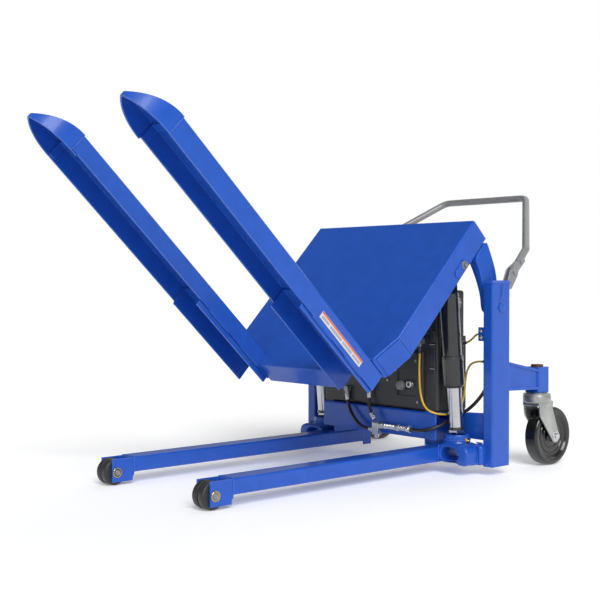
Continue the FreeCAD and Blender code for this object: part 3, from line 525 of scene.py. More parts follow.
# %% Poses of the chair and the cylinders
TILT = math.radians(44.0)
PIVOT = np.array(joints["chair_tilt"]["pos_m"])
LEAN = math.radians(5.12)
ROD_LINE = np.array([0.0, -math.sin(LEAN), math.cos(LEAN)])


def on_chair(x, y, z):
    """A drawing point with the forks level, turned by the tilt about the pivot."""
    dy, dz = at(x, y, z)[1:] - PIVOT[1:]
    turned_y = PIVOT[1] + dy * math.cos(TILT) + dz * math.sin(TILT)
    turned_z = PIVOT[2] - dy * math.sin(TILT) + dz * math.cos(TILT)
    return np.array([x * MM, turned_y, turned_z])


SIDES = (("left", 1), ("right", -1))
X_AXIS, Y_AXIS, Z_AXIS = (1, 0, 0), (0, 1, 0), (0, 0, 1)
FORWARD = (0, -1, 0)
FOOT_X, FOOT_Y, FOOT_Z = 325, 398, 112
CUP_RADIUS = 44

# %% [markdown]
# ## Rear caster wheels
# A phenolic wheel is moulded in one piece: a thick rounded tread, a thin web with raised rings
# that stiffen it, and a long hub. It is a closed profile spun about the axle, so the rings cost
# only a few more profile points.

# %% Caster wheels
def both_faces(half):
    """A closed profile from one face's points, mirrored to the other face and joined at the bore."""
    half = np.array(half, float)
    other = half[::-1] * [-1, 1]
    return np.concatenate([half, other, half[:1]])


tread_turn = np.linspace(0, np.pi / 2, 6)
wheel_face = [(28, 6.6), (28, 16), (27.2, 18.2), (25.5, 19.6), (20, 21), (17.2, 24), (16, 30), (16, 38), (18.6, 40),
              (18.6, 43.5), (16, 45.5), (16, 57), (18.6, 59), (18.6, 62.5), (16, 64.5), (16, 71), (18, 75),
              (22.5, 78), (24.2, 80), (24.2, 83), (25, 84.5), (25, 92)]
wheel_face += [(16 + 9 * math.cos(a), 92.5 + 9 * math.sin(a)) for a in tread_turn[1:]]
for side, sign in SIDES:
    hub = middle("caster_wheel_" + side)
    wheel = turned(both_faces(wheel_face), hub, X_AXIS, 96)
    grid_piece("moulded_wheel_" + side, wheel, "wheel_" + side, "phenolic", caps=False,
               stand_for=("caster_wheel_" + side,))
    sleeve = turned(both_faces([(28.3, 6.6), (28.3, 11.5), (24, 11.5)]), hub, X_AXIS, 40)
    grid_piece("wheel_sleeve_" + side, sleeve, "wheel_" + side, "zinc", caps=False)
print("wheel radius mm", round(max(r for _, r in wheel_face), 1))

# %% [markdown]
# ## Caster yokes
# The yoke is pressed from thick plate: a double ball race on top, and two legs that taper down to
# a round end at the axle. Its outline is a top edge joined by straight tangents to a circle
# round the axle, and a small bevel breaks the plate's edges.

# %% Caster yokes
def plate(outline, thickness, side):
    """A flat plate: a (y, z) outline in metres repeated at two x levels."""
    outline = np.array(outline)
    level = np.linspace(side - thickness / 2, side + thickness / 2, 2)
    return np.stack([np.column_stack([np.full(len(outline), x), outline]) for x in level])


def leg_outline(axle_y, axle_z, top_z, front, back, radius):
    """A tapered leg: an arc about the axle from one side to the other, then up to the top edge."""
    swing = np.radians(np.linspace(202, 352, 22))
    arc = [(axle_y + radius * math.cos(a), axle_z + radius * math.sin(a)) for a in swing]
    shoulder = [(back - 0.004, top_z - 0.022), (back, top_z - 0.010), (back, top_z)]
    return arc + shoulder + [(front, top_z), (front + 0.001, top_z - 0.030), (front + 0.006, top_z - 0.052)]


for side, sign in SIDES:
    hub = middle("caster_wheel_" + side)
    swivel = np.array(joints["caster_swivel_" + side]["pos_m"])
    outline = leg_outline(hub[1], hub[2], 0.226, swivel[1] - 0.030, swivel[1] + 0.047, 0.0225)
    legs = [plate(outline, 0.006, hub[0] + offset) for offset in (-0.032, 0.032)]
    crown = plate([(swivel[1] - 0.034, 0.212), (swivel[1] + 0.047, 0.212), (swivel[1] + 0.047, 0.227),
                   (swivel[1] - 0.034, 0.227)], 0.0695, hub[0])
    yoke = joined("pressed_yoke_" + side, [*legs, crown], "yoke_" + side, "zinc",
                  stand_for=("caster_yoke_" + side,), smooth=False, finish="galvanised")
    rim = yoke.modifiers.new("edge", "BEVEL")
    rim.width, rim.segments, rim.limit_method = 0.0011, 2, "ANGLE"
    centre = np.array([swivel[0], swivel[1], 0.0])
    race = [(222, 6), (222, 45), (224, 47.4), (227, 48.4), (244, 48.4), (247.5, 47.4), (248.4, 45.6), (249.6, 47),
            (252, 47), (253.6, 45), (254, 38), (257, 36), (257, 16), (349, 16), (349, 6)]
    grid_piece("ball_race_" + side, turned(race + race[:1], centre, Z_AXIS, 72), "yoke_" + side, "zinc",
               caps=False, finish="galvanised")
    axle = turned([(-44, 6.3), (38, 6.3)], hub, X_AXIS, 24)
    ends = bolt_head(19, 8, hub + [0.035, 0, 0], X_AXIS) + bolt_head(19, 9, hub - [0.035, 0, 0], (-1, 0, 0))
    joined("axle_bolt_" + side, [axle, *ends], "yoke_" + side, "zinc", finish="bright_zinc")
print("yokes done")

# %% [markdown]
# ## Load rollers
# The front rollers are twin discs of dense nylon with a groove between them, a stepped face and
# a rounded rim. The axle ends in a ring of yellow-passivated steel outside the cheek.

# %% Load rollers
roller_face = [(26.3, 8.2), (26.3, 15), (25.2, 16), (25.2, 27), (26.3, 28.5), (26.3, 34)]
roller_face += [(20.4 + 5.9 * math.cos(a), 35 + 5.9 * math.sin(a)) for a in tread_turn[1:]]
roller_face += [(5.5, 40.9), (3.2, 39.6), (2.2, 37), (2.2, 24.2)]
for side, sign in SIDES:
    hub = middle("load_roller_" + side)
    grid_piece("twin_roller_" + side, turned(both_faces(roller_face), hub, X_AXIS, 80), "roller_" + side,
               "roller_poly", caps=False, stand_for=("load_roller_" + side,))
    ends = [(np.array([sign * 0.290, hub[1], hub[2]]), (sign, 0, 0)),
            (np.array([sign * 0.222, hub[1], hub[2]]), (-sign, 0, 0))]
    rings = [turned([(0, 12.2), (0, 15.6), (1.6, 15.6), (2.4, 14.8), (2.4, 12.8), (1.6, 12.2), (0, 12.2)], *end, 48)
             for end in ends]
    joined("axle_rings_" + side, rings, "frame", "brass", caps=False)
    washers = [turned([(0, 0.3), (0, 12.3), (0.8, 12.3), (0.8, 0.3)], *end, 40) for end in ends]
    joined("axle_washers_" + side, washers, "frame", "black_plastic")
    bolts = [turned([(0, 9.4), (3.6, 9.4), (4.6, 8.6), (4.6, 4.4), (3.8, 3.8), (3.8, 0.3)], *end, 36)
             for end in ends]
    joined("axle_ends_" + side, bolts, "frame", "zinc")

# %% [markdown]
# ## Hydraulic cylinders
# Rings tell a cylinder from a pipe: a black seat under the rod, a wiper lip where the rod enters
# the gland, a turned groove where gland and barrel screw together, and a port with a union.
# They are turned about the leaning line of the rod, and each rides on the rod or the barrel.

# %% Cylinder rings and ports
def ring_profile(low, high, inner, outer, chamfer=0.8):
    """A ring's closed section with chamfered outer corners."""
    return [(low, inner), (low, outer - chamfer), (low + chamfer, outer), (high - chamfer, outer),
            (high, outer - chamfer), (high, inner), (low, inner)]


for side, sign in SIDES:
    foot = at(sign * FOOT_X, FOOT_Y, FOOT_Z)
    seat = turned(ring_profile(34.6, 44.6, 25.6, 28.6), foot, ROD_LINE, 56)
    grid_piece("rod_seat_" + side, seat, "rod_" + side, "black_paint", caps=False)
    rings = [ring_profile(177.5, 183.4, 25.8, 31.5, 1.5), ring_profile(188, 190.5, 36.0, 37.1),
             ring_profile(276, 279, 36.0, 37.1), ring_profile(284, 286, 32.6, 34.4),
             ring_profile(478, 486, 32.6, 34.2)]
    joined("barrel_rings_" + side, [turned(r, foot, ROD_LINE, 64) for r in rings], "barrel_" + side, "black_paint",
           caps=False)
    out = np.array([0.15 * sign, 0.985, 0.08])
    port = foot + 0.452 * ROD_LINE + 0.031 * np.array([0.0, 1.0, 0.0])
    turn = port + 0.016 * out
    rising = np.array([0.0, 0.0, 1.0])
    union = [turned([(-3, 5), (-3, 8), (14, 8), (14, 5)], port, out, 24), hexagon(17, 9, port, out, start=2),
             turned([(-9, 6.5), (12, 6.5)], turn, rising, 24), hexagon(15, 8, turn, rising, start=4),
             turned([(12, 5.2), (22, 5.2), (23.5, 4.2), (23.5, 0.2)], turn, rising, 24)]
    joined("port_union_" + side, union, "barrel_" + side, "zinc")
    pin_end = at(sign * 371, FOOT_Y, FOOT_Z)
    nipple = turned([(0, 0.2), (0, 9.5), (2.5, 9.5), (3.2, 8.5), (3.2, 4.2), (6.5, 4.0), (8.2, 2.6), (8.2, 0.2)],
                    pin_end, (sign, 0, 0), 28)
    grid_piece("grease_nipple_" + side, nipple, "frame", "brass")

# %% [markdown]
# ## Weld beads
# A welded frame is told by its seams. Each bead is a line of corners along a joint; the section
# swells once per ripple of the torch. One list of seams on the frame and one on the chair,
# mirrored to the other side, are joined into a few meshes.

# %% Seams of the frame
frame_seams = [
    [(222, -525, 40), (222, -525, 83), (290, -525, 83), (290, -525, 40)],
    [(290.5, 346, 44), (290.5, 344.5, 92), (290.5, 380, 98.5), (290.5, 422, 96), (290.5, 424, 48)],
    [(229, 352, 87), (229, 459, 87)],
    [(300, 366, 98.5), (300, 430, 98.5)],
    [(415, 424, 105), (386, 424, 105)],
    [(413, 424, 40), (413, 424, 100)],
    [(278, 440, 116), (278, 440, 138)],
    [(413, 440, 116), (413, 440, 202)],
    [(417, 516, 280), (417, 516, 373), (447, 516, 373), (447, 516, 282)],
    [(418, 680, 336), (446, 680, 336)],
    [(413, 431, 446), (413, 431, 488)],
    [(426, 516, 604), (446, 516, 604)],
    [(414.5, 424, 638), (414.5, 514, 638), (455.5, 514, 638), (455.5, 424, 638), (414.5, 424, 638)],
]
for side, sign in SIDES:
    lines = [[at(sign * x, y, z) for x, y, z in seam] for seam in frame_seams]
    joined("frame_welds_" + side, [bead(line) for line in lines], "frame", "blue_paint")
cup = np.linspace(0, 2 * np.pi, 49)
for side, sign in SIDES:
    foot_ring = [at(sign * FOOT_X + CUP_RADIUS * math.cos(a), FOOT_Y + CUP_RADIUS * math.sin(a), FOOT_Z)
                 for a in cup]
    grid_piece("cup_weld_" + side, bead(foot_ring), "frame", "blue_paint")

# %% [markdown]
# The heel channel is stitched into each fork with a few short beads, as a welder does to keep a
# long joint straight, and the pan's cut corners have a continuous bead that catches the light.

# %% Seams of the chair
chair_seams = [
    [(328.5, -47, 39), (328.5, 64, 39)], [(328.5, 135, 39), (328.5, 234, 39)],
    [(185.0, -47, 46), (185.0, 64, 46)], [(185.0, 135, 46), (185.0, 234, 46)],
    [(325, -96, 34), (325, -96, 100)],
    [(184, 231, 109), (330, 231, 109)],
    [(380.5, 233, 206), (334, 231.5, 109)],
    [(380.5, 235, 208), (380.5, 315, 208)],
    [(333.5, 234, 107.5), (333.5, 315, 107.5)],
    [(182, -756, 108.5), (332, -756, 108.5)],
    [(181.0, -755, 50), (181.0, -755, 100)], [(333.0, -755, 44), (333.0, -755, 100)],
    [(321, 322, 624), (363, 322, 624)], [(321, 322, 700), (363, 322, 700)],
    [(271, 240, 508), (271, 312, 521)],
]
for side, sign in SIDES:
    lines = [[on_chair(sign * x, y, z) for x, y, z in seam] for seam in chair_seams]
    joined("chair_welds_" + side, [bead(line) for line in lines], "chair", "blue_paint")

# %% [markdown]
# A lapped plate stiffens each cut corner of the pan. It is a thin sheet laid on the slanted
# flange, a little narrower than it, with its edges standing proud.

# %% Corner plates
def slab(corners, lift):
    """A thin closed sheet: four corners in order, and the same four moved by a lift vector."""
    corners = np.array(corners)
    return np.stack([corners, corners + np.array(lift)])


for side, sign in SIDES:
    along = np.array([-48.0, 0.0, -100.0]) / math.hypot(48, 100)
    outward = np.array([100.0, 0.0, -48.0]) / math.hypot(48, 100)
    first = np.array([381.0, 0.0, 208.0]) + 6 * along
    last = np.array([381.0, 0.0, 208.0]) + 100 * along
    corners = [(first[0], 240, first[2]), (first[0], 318, first[2]),
               (last[0], 318, last[2]), (last[0], 240, last[2])]
    placed = [on_chair(sign * x, y, z) for x, y, z in corners]
    lift = on_chair(sign * 3 * outward[0], 0, 3 * outward[2]) - on_chair(0, 0, 0)
    sheet_plate = grid_piece("corner_plate_" + side, slab(placed, lift), "chair", "blue_paint", smooth=False)
    lip = sheet_plate.modifiers.new("edge", "BEVEL")
    lip.width, lip.segments = 0.0009, 2
print("seams", len(frame_seams) + len(chair_seams))

# %% [markdown]
# The pins of the cylinders' eyes are kept by flag plates that are bolted to the pan's side, and
# a bent wire on each post keeps the pivot pin from turning.

# %% Flag bolts and keeper wires
for side, sign in SIDES:
    centre = on_chair(sign * 385, 297.5, 585)
    joined("flag_bolt_" + side, bolt_head(15, 8, centre, (sign, 0, 0)), "chair", "zinc")
    wire = [(458.5, 470, 632), (459.5, 470, 600), (460, 468, 580), (460, 461, 572), (459, 455, 573)]
    grid_piece("keeper_wire_" + side, bead([at(sign * x, y, z) for x, y, z in wire], 0.0022, 5.0), "frame",
               "blue_paint")

# %% [markdown]
# ## Hydraulic fittings
# Zinc-plated hydraulic fittings are turned from hexagonal bar and stand out brightly. The branch
# tee feeds both cylinders; a spiral guard stiffens the pressure hose between two nuts, and a
# screw clip holds it. Every part is a profile with many small steps, spun about the hose's line.

# %% Branch tee
TEE_Y, TEE_Z = HOSE_LEFT[0][1], HOSE_LEFT[0][2]


def bolster(low, high, y, z, name):
    """A closed block between two x levels with its edges bevelled."""
    ring = [(y[0], z[0]), (y[1], z[0]), (y[1], z[1]), (y[0], z[1])]
    grid = np.stack([[at(x, *corner) for corner in ring] for x in (low, high)])
    piece = grid_piece(name, grid, "frame", "zinc", smooth=False, finish="bright_zinc")
    edge_modifier = piece.modifiers.new("edge", "BEVEL")
    edge_modifier.width, edge_modifier.segments = 0.0016, 3
    return piece


tee_body = bolster(9, 39, (TEE_Y - 10, TEE_Y + 10), (TEE_Z - 33, TEE_Z + 9), "branch_tee")
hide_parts("hose_fittings")
line = at(0, TEE_Y, TEE_Z)
steps = [hexagon(21, 13, line, X_AXIS, start=39), hexagon(18, 9, line, X_AXIS, start=55)]
steps += [turned([(51, 6.5), (51, 7.4), (66, 7.4), (66, 6.5)], line, X_AXIS, 28)]
run = np.linspace(64, 120, 113)
guard = np.column_stack([run, 6.4 + 3.0 * np.abs(np.sin(np.pi * (run - 64) / 7.0))])
steps += [turned(guard, line, X_AXIS, 28), hexagon(20.5, 14, line, X_AXIS, start=120)]
run = np.linspace(133, 168, 71)
crimp = np.column_stack([run, 7.2 + 1.4 * (np.sin(2 * np.pi * (run - 133) / 7.0) > -0.2)])
steps += [turned(crimp, line, X_AXIS, 32)]
clip = [(168, 8.6), (168, 10.2), (171, 10.8), (174, 9.0), (177, 9.0), (180, 10.8), (184, 10.8), (185.5, 9.6),
        (185.5, 6.4)]
steps += [turned(clip, line, X_AXIS, 32)]
hoop = [(-2.6, 8), (-2.6, 12.4), (-1.6, 13.6), (1.6, 13.6), (2.6, 12.4), (2.6, 8)]
steps += [turned(hoop, at(184, TEE_Y, TEE_Z), (0.93, 0, 0.36), 36)]
low_plug = at(24, TEE_Y, TEE_Z - 33)
steps += [hexagon(16, 9, low_plug, (0, 0, -1)), turned([(8, 6.2), (12.5, 6.2), (12.8, 5.4), (12.8, 0.3)],
                                                       low_plug, (0, 0, -1), 24)]
side_port = at(9, TEE_Y, TEE_Z - 17)
steps += [hexagon(17, 11, side_port, (-1, 0, 0)), turned([(10, 6.8), (20, 6.8), (22, 6.2), (22, 5.8)], side_port,
                                                         (-1, 0, 0), 28)]
joined("branch_fittings", steps, "frame", "zinc", finish="bright_zinc")

# %% Ferrules of the hoses
ferrule_profile = [(-1, 5.8), (-1, 8.0), (2, 8.6), (5, 8.6), (5.6, 7.7), (8, 7.7), (8.6, 8.6),
                   (12, 8.6), (12.6, 7.7), (15, 7.7), (15.6, 8.4), (19, 8.2), (20, 6.6), (20, 5.8)]


def ferrule(point, towards):
    """A crimped ferrule that starts at a route point and points along the hose."""
    start_point, next_point = at(*point), at(*towards)
    direction = next_point - start_point
    return [turned(ferrule_profile, start_point, direction, 28), hexagon(15, 7, start_point, -direction, start=-1)]


joined("hose_ferrules", ferrule(HOSE_SUPPLY[-1], HOSE_SUPPLY[-2]) + ferrule(HOSE_SUPPLY[0], HOSE_SUPPLY[1])
       + ferrule(HOSE_RIGHT[-1], HOSE_RIGHT[-2]) + ferrule(HOSE_LEFT[-1], HOSE_LEFT[-2]), "frame", "zinc",
       finish="bright_zinc")

# %% [markdown]
# A lead leaves its gland through a tapered rubber sleeve, so that it can't kink at the edge. The
# sleeve is a cone with rings cut in it.

# %% Strain reliefs
def relief(point, towards, length=26.0):
    """A ringed cone along the first run of a lead."""
    along = np.linspace(0, length, 53)
    radius = 6.4 - 2.4 * along / length + 0.45 * (np.sin(2 * np.pi * along / 4.0) > 0)
    profile = np.column_stack([along - 2, radius])
    return turned(profile, at(*point), at(*towards) - at(*point), 24)


joined("lead_reliefs", [relief(SOCKET_LEAD[0], SOCKET_LEAD[1]), relief(SOCKET_LEAD[-1], SOCKET_LEAD[-2]),
                        relief(SWITCH_LEAD[-1], SWITCH_LEAD[-2], 18.0)], "frame", "black_plastic")
brass_nut = at(388, SWITCH_LEAD[0][1], SWITCH_LEAD[0][2])
joined("switch_gland", [hexagon(15, 6, brass_nut, (-1, 0, 0), start=-1),
                        turned([(4, 6.2), (8, 6.2), (11, 4.8), (12, 3.8)], brass_nut, (-1, 0, 0), 24)],
       "frame", "brass")
screws = [part for z in (478, 456) for part in bolt_head(7, 4, at(399, 432, z), FORWARD)]
joined("switch_screws", screws, "frame", "zinc", finish="bright_zinc")
print("hydraulic details done")

# %% [markdown]
# ## Power unit
# The battery box and its hood are thick moulded plastic. What makes them read as mouldings are
# raised ribs, a lip where hood and tray meet, draw latches at the corners, and a recessed bay
# with the charger's socket and the battery disconnect.

# %% Rounded bars and frames
def bar_outline(half_width, half_height, corner, count=6):
    """A rounded rectangle: four quarter circles one after another, as (across, up) pairs."""
    quarter = np.linspace(0, np.pi / 2, count)
    turns = [(1, 1, 0), (-1, 1, 1), (-1, -1, 2), (1, -1, 3)]
    return np.concatenate([np.column_stack([
        sx * (half_width - corner) + corner * np.cos(quarter + k * np.pi / 2),
        sy * (half_height - corner) + corner * np.sin(quarter + k * np.pi / 2)]) for sx, sy, k in turns])


def raised(centre, half_width, half_height, corner, levels, across, up, out):
    """A cushion-edged plate: the outline repeated at (height, inset) levels along the outward axis."""
    across, up, out = (np.array(v, float) for v in (across, up, out))
    rings = []
    for height, inset in levels:
        outline = bar_outline(half_width - inset, half_height - inset, max(corner - inset, 0.3))
        rings.append(np.array(centre) + MM * (outline[:, :1] * across + outline[:, 1:] * up + height * out))
    return np.stack(rings)


PILLOW = [(0.0, 0.0), (0.62, 0.0), (0.9, 0.25), (1.0, 0.8)]


def scaled_levels(height, rim=1.0):
    """The pillow profile stretched to a height and an edge radius."""
    return [(height * h, rim * i * 2.0) for h, i in PILLOW]


FACES = {"front": (X_AXIS, Z_AXIS, FORWARD), "rear": (X_AXIS, Z_AXIS, Y_AXIS),
         "left": (Y_AXIS, Z_AXIS, X_AXIS), "right": (Y_AXIS, Z_AXIS, (-1, 0, 0))}


def pad(face, place, half_width, half_height, corner, height, rim=1.0):
    """A pillow-edged pad standing on a face of the housing at a drawing point."""
    return raised(at(*place), half_width, half_height, corner, scaled_levels(height, rim), *FACES[face])


# %% Draw latches
LATCH_X = 263
for side, sign in SIDES:
    latch_parts = []
    for z in (325, 452):
        latch_parts.append(pad("front", (sign * LATCH_X, 350.2, z), 12, 25, 5, 2.0))
        latch_parts.append(pad("front", (sign * LATCH_X, 348.2, z + 4), 8, 17, 3, 3.2))
        latch_parts.append(turned([(-9, 0.3), (-9, 2.2), (9, 2.2), (9, 0.3)],
                                  at(sign * LATCH_X, 346.6, z + 22), X_AXIS, 18))
    joined("draw_latches_" + side, latch_parts, "frame", "black_plastic",
           stand_for=("hood_latches",) if side == "left" else ())
    strap = [pad("front", (sign * LATCH_X, 350.2, 389), 10, 36, 4, 5.5)]
    strap += [pad("front", (sign * LATCH_X, 350.2, z), 13, 5, 2, 6.5)
              for z in (352, 426)]
    joined("corner_straps_" + side, strap, "frame", "black_plastic")
    bails = [turned([(-11, 0.3), (-11, 1.6), (11, 1.6), (11, 0.3)], at(sign * LATCH_X, 343.4, z), X_AXIS, 14)
             for z in (348, 430)]
    joined("strap_pins_" + side, bails, "frame", "zinc", finish="bright_zinc")

# %% Ribs of the hood and the tray
for side, sign in SIDES:
    ribs = [pad(side, (sign * 274, y, 532), 9, 62, 6, 4.0)
            for y in (388, 427, 466)]
    ribs += [pad(side, (sign * 280, y, 330), 8, 96, 5, 3.0)
             for y in (380, 474)]
    ribs += [pad(side, (sign * 280, 427, 432), 34, 9, 8, 6.0, 1.5)]
    joined("moulded_ribs_" + side, ribs, "frame", "black_plastic")
rear_ribs = [pad("rear", (x, 500, 536), 14, 56, 6, 4.0)
             for x in (-230, -165, 165, 230)]
rear_ribs += [pad("rear", (x, 504, 322), 12, 92, 5, 3.5) for x in (-236, -118, 118, 236)]
rear_ribs += [pad("rear", (0, 504, 470), 262, 6, 3, 3.0)]
joined("rear_ribs", rear_ribs, "frame", "black_plastic")
louvres = [pad("rear", (0, 500, z), 96, 3.4, 3, 4.6, 1.2)
           for z in range(502, 588, 12)]
joined("hood_louvres", louvres, "frame", "black_plastic")
front_ribs = [pad("front", (x, 354, 534), 12, 54, 6, 4.0)
              for x in (-236, -120, 0, 120, 236)]
joined("hood_front_ribs", front_ribs, "frame", "black_plastic")
hood_lip = [pad("front", (0, 354, 482), 260, 5, 3, 3.6),
            pad("front", (0, 350, 470), 245, 4, 3, 3.0)]
joined("hood_lip", hood_lip, "frame", "black_plastic")

# %% [markdown]
# The disconnect is a small knob with a scalloped rim and a pointer bar; the charger's socket
# beside it is a threaded metal shell round a dark insert. Scallops are a radius that falls a
# little at even angles, so the knob is the turned shape with one extra cosine.

# %% Knob and socket
knob_centre = middle("disconnect_knob")
knob_centre[1] = at(0, 341, 0)[1]
knob_profile = np.array([(-3.4, 6.0), (3.0, 8.0), (3.0, 15.6), (5.0, 16.9), (15, 16.9), (19, 16.0), (21.5, 13.5),
                         (22.6, 9.0), (22.9, 0.4)]) * MM
angle = np.linspace(0, 2 * np.pi, 120, endpoint=False)
lobes = 1 - 0.045 * (0.5 + 0.5 * np.cos(10 * angle)) ** 2
ring = np.stack([np.cos(angle) * lobes, np.zeros_like(angle), np.sin(angle) * lobes], -1)
knob_grid = knob_centre + knob_profile[:, None, 1:] * ring - knob_profile[:, None, :1] * np.array([0, 1.0, 0])
pointer = raised(knob_centre - [0, 0.0215, 0], 3.4, 13.6, 3, scaled_levels(2.2, 0.8), X_AXIS, Z_AXIS, FORWARD)
joined("scalloped_knob", [knob_grid], "knob", "grey_plastic", stand_for=("disconnect_knob",))
grid_piece("knob_pointer", pointer, "knob", "grey_plastic")
socket_at = at(166, 345, 290)
shell = [(0, 6.6), (0, 12), (4, 12), (4.6, 10.8), (5.8, 10.8), (6.4, 12), (12, 12)]
shell += [(12.0 + 0.5 * i, 11.8 if i % 2 else 10.9) for i in range(1, 8)]
shell += [(16, 10.6), (16, 7.2), (8, 6.8), (0, 6.6)]
grid_piece("socket_shell", turned(shell, socket_at, FORWARD, 44), "frame", "zinc", caps=False,
           stand_for=("charge_socket",), finish="bright_zinc")
core = [turned([(0.5, 6.7), (13, 6.7), (13.6, 6.0), (13.6, 0.3)], socket_at, FORWARD, 32)]
joined("socket_insert", core, "frame", "black_plastic")
contacts = [turned([(12, 1.5), (18.5, 1.5), (19, 1.0), (19, 0.2)], socket_at + MM * np.array([dx, 0, dz]),
                   FORWARD, 14) for dx, dz in ((-3, 2), (3, 2), (0, -3.2))]
joined("socket_contacts", contacts, "frame", "brass")

# %% [markdown]
# ## Sticker
# The sticker on the fork is plain vinyl. A coloured strip and a few empty panels give it the
# look of a notice without any words.

# %% Strip and panels of the sticker
def patch(y, z, lift, name, finish):
    """A thin patch on the fork's left side between two runs y and two heights z, forks level."""
    corners = [(y[0], z[0]), (y[1], z[0]), (y[1], z[1]), (y[0], z[1])]
    grid = np.stack([[on_chair(333.55 + h, a, b) for a, b in corners] for h in (0.0, lift)])
    grid_piece(name, grid, "chair", "label", smooth=False, finish=finish)


patch((-24, 203), (71.0, 77.0), 0.25, "sticker_strip", "strip_vinyl")
for number, (first, last) in enumerate([(-18, 22), (28, 92), (98, 150), (156, 197)]):
    patch((first, last), (58.5, 67.5), 0.18, "sticker_panel_" + str(number), "panel_vinyl")
print("power box done")

# %% [markdown]
# ## Cylinder feet
# Each cylinder stands in a cup on a formed bridge between leg and post. The bridge is bent from
# thick plate, so its outline flows in soft curves round an open tunnel. Its section is an outer
# and an inner loop, each smoothed by cutting its corners again and again; carrying both loops
# from front to back with rolled edges gives one closed ring.

# %% Formed bridge
def smooth_loop(corners, count=96, passes=3):
    """Cut every corner at a quarter and three quarters of its sides, then space the points evenly."""
    loop = np.array(corners, float)
    for _ in range(passes):
        following = np.roll(loop, -1, axis=0)
        loop = np.stack([0.75 * loop + 0.25 * following, 0.25 * loop + 0.75 * following], 1).reshape(-1, 2)
    middle = loop.mean(axis=0)
    turn = np.unwrap(np.arctan2(loop[:, 1] - middle[1], loop[:, 0] - middle[0]))
    loop = np.roll(loop, -int(np.argmin(np.abs(np.mod(turn, 2 * np.pi)))), axis=0)
    closed = np.vstack([loop, loop[:1]])
    reach = np.concatenate([[0], np.cumsum(np.linalg.norm(np.diff(closed, axis=0), axis=1))])
    wanted = np.linspace(0, reach[-1], count, endpoint=False)
    return np.column_stack([np.interp(wanted, reach, closed[:, i]) for i in range(2)])


def pulled(loop, amount):
    """The same loop, each point moved towards the middle of its neighbours' inner side."""
    ahead, behind = np.roll(loop, -1, axis=0), np.roll(loop, 1, axis=0)
    tangent = ahead - behind
    tangent /= np.linalg.norm(tangent, axis=1)[:, None]
    return loop + amount * np.column_stack([-tangent[:, 1], tangent[:, 0]])


OUTER = [(287, 38), (340, 38), (362, 41), (376, 34), (396, 33.2), (411, 38), (414, 60), (413, 84), (400, 98),
         (372, 104), (326, 104), (300, 100), (287, 90)]
TUNNEL = [(300, 49), (340, 46), (366, 50), (377, 62), (373, 80), (356, 91), (326, 93), (306, 86), (299, 70)]
for side, sign in SIDES:
    outer, inner = smooth_loop(OUTER), smooth_loop(TUNNEL)
    front, back = 344.5, 424.0
    sweep = [(outer, front + 9, 0), (outer, front + 4, 1.2), (outer, front + 1, 4.0), (outer, front, 7.5),
             (inner, front, -3.5), (inner, front + 1.5, -1.2), (inner, front + 5, 0), (inner, back, 0),
             (outer, back, 0), (outer, front + 9, 0)]
    rows = []
    for loop, y, amount in sweep:
        line = pulled(loop, amount)
        rows.append(at(0, y, 0) + MM * np.column_stack([sign * line[:, 0], np.zeros(len(line)), line[:, 1]]))
    grid_piece("formed_bridge_" + side, np.stack(rows), "frame", "blue_paint", caps=False,
               stand_for=("outriggers",) if side == "left" else ())
    lobe_levels = [(0, 0), (14, 0), (19, 0.8), (23, 3), (25.5, 7)]
    lobe = raised(at(sign * 407, 424.5, 68), 21, 35, 15, lobe_levels, X_AXIS, Z_AXIS, FORWARD)
    toe = raised(at(sign * 398, 424.5, 60), 15, 26.5, 13, [(0, 0), (40, 0), (47, 1), (52, 4), (54.5, 9)], X_AXIS,
                 Z_AXIS, FORWARD)
    joined("foot_lobes_" + side, [lobe, toe], "frame", "blue_paint")
    cup_profile = [(-22, 34.2), (-22, 47), (-17, 50), (-14, 50), (-9, 47), (-3, 44), (4, 42.4), (14, 42), (17, 41.4),
                   (18.7, 39.8), (19, 38), (18.7, 36), (17.4, 34.5), (15, 34.2), (-22, 34.2)]
    grid_piece("cylinder_cup_" + side, turned(cup_profile, at(sign * FOOT_X, FOOT_Y, FOOT_Z), Z_AXIS, 72), "frame",
               "blue_paint", caps=False)
print("feet done")

# %% [markdown]
# ## Pivot arms
# The arms that carry the chair are bent outwards from the pan to the posts, so that their round
# ends hang close beside the tubes. The outline is smoothed like the bridge's, and each of its
# points is moved sideways by how far along the arm it lies: a shear that grows from the pan to
# the pivot. Arm, bush and pin are made together, because they meet in one joint.

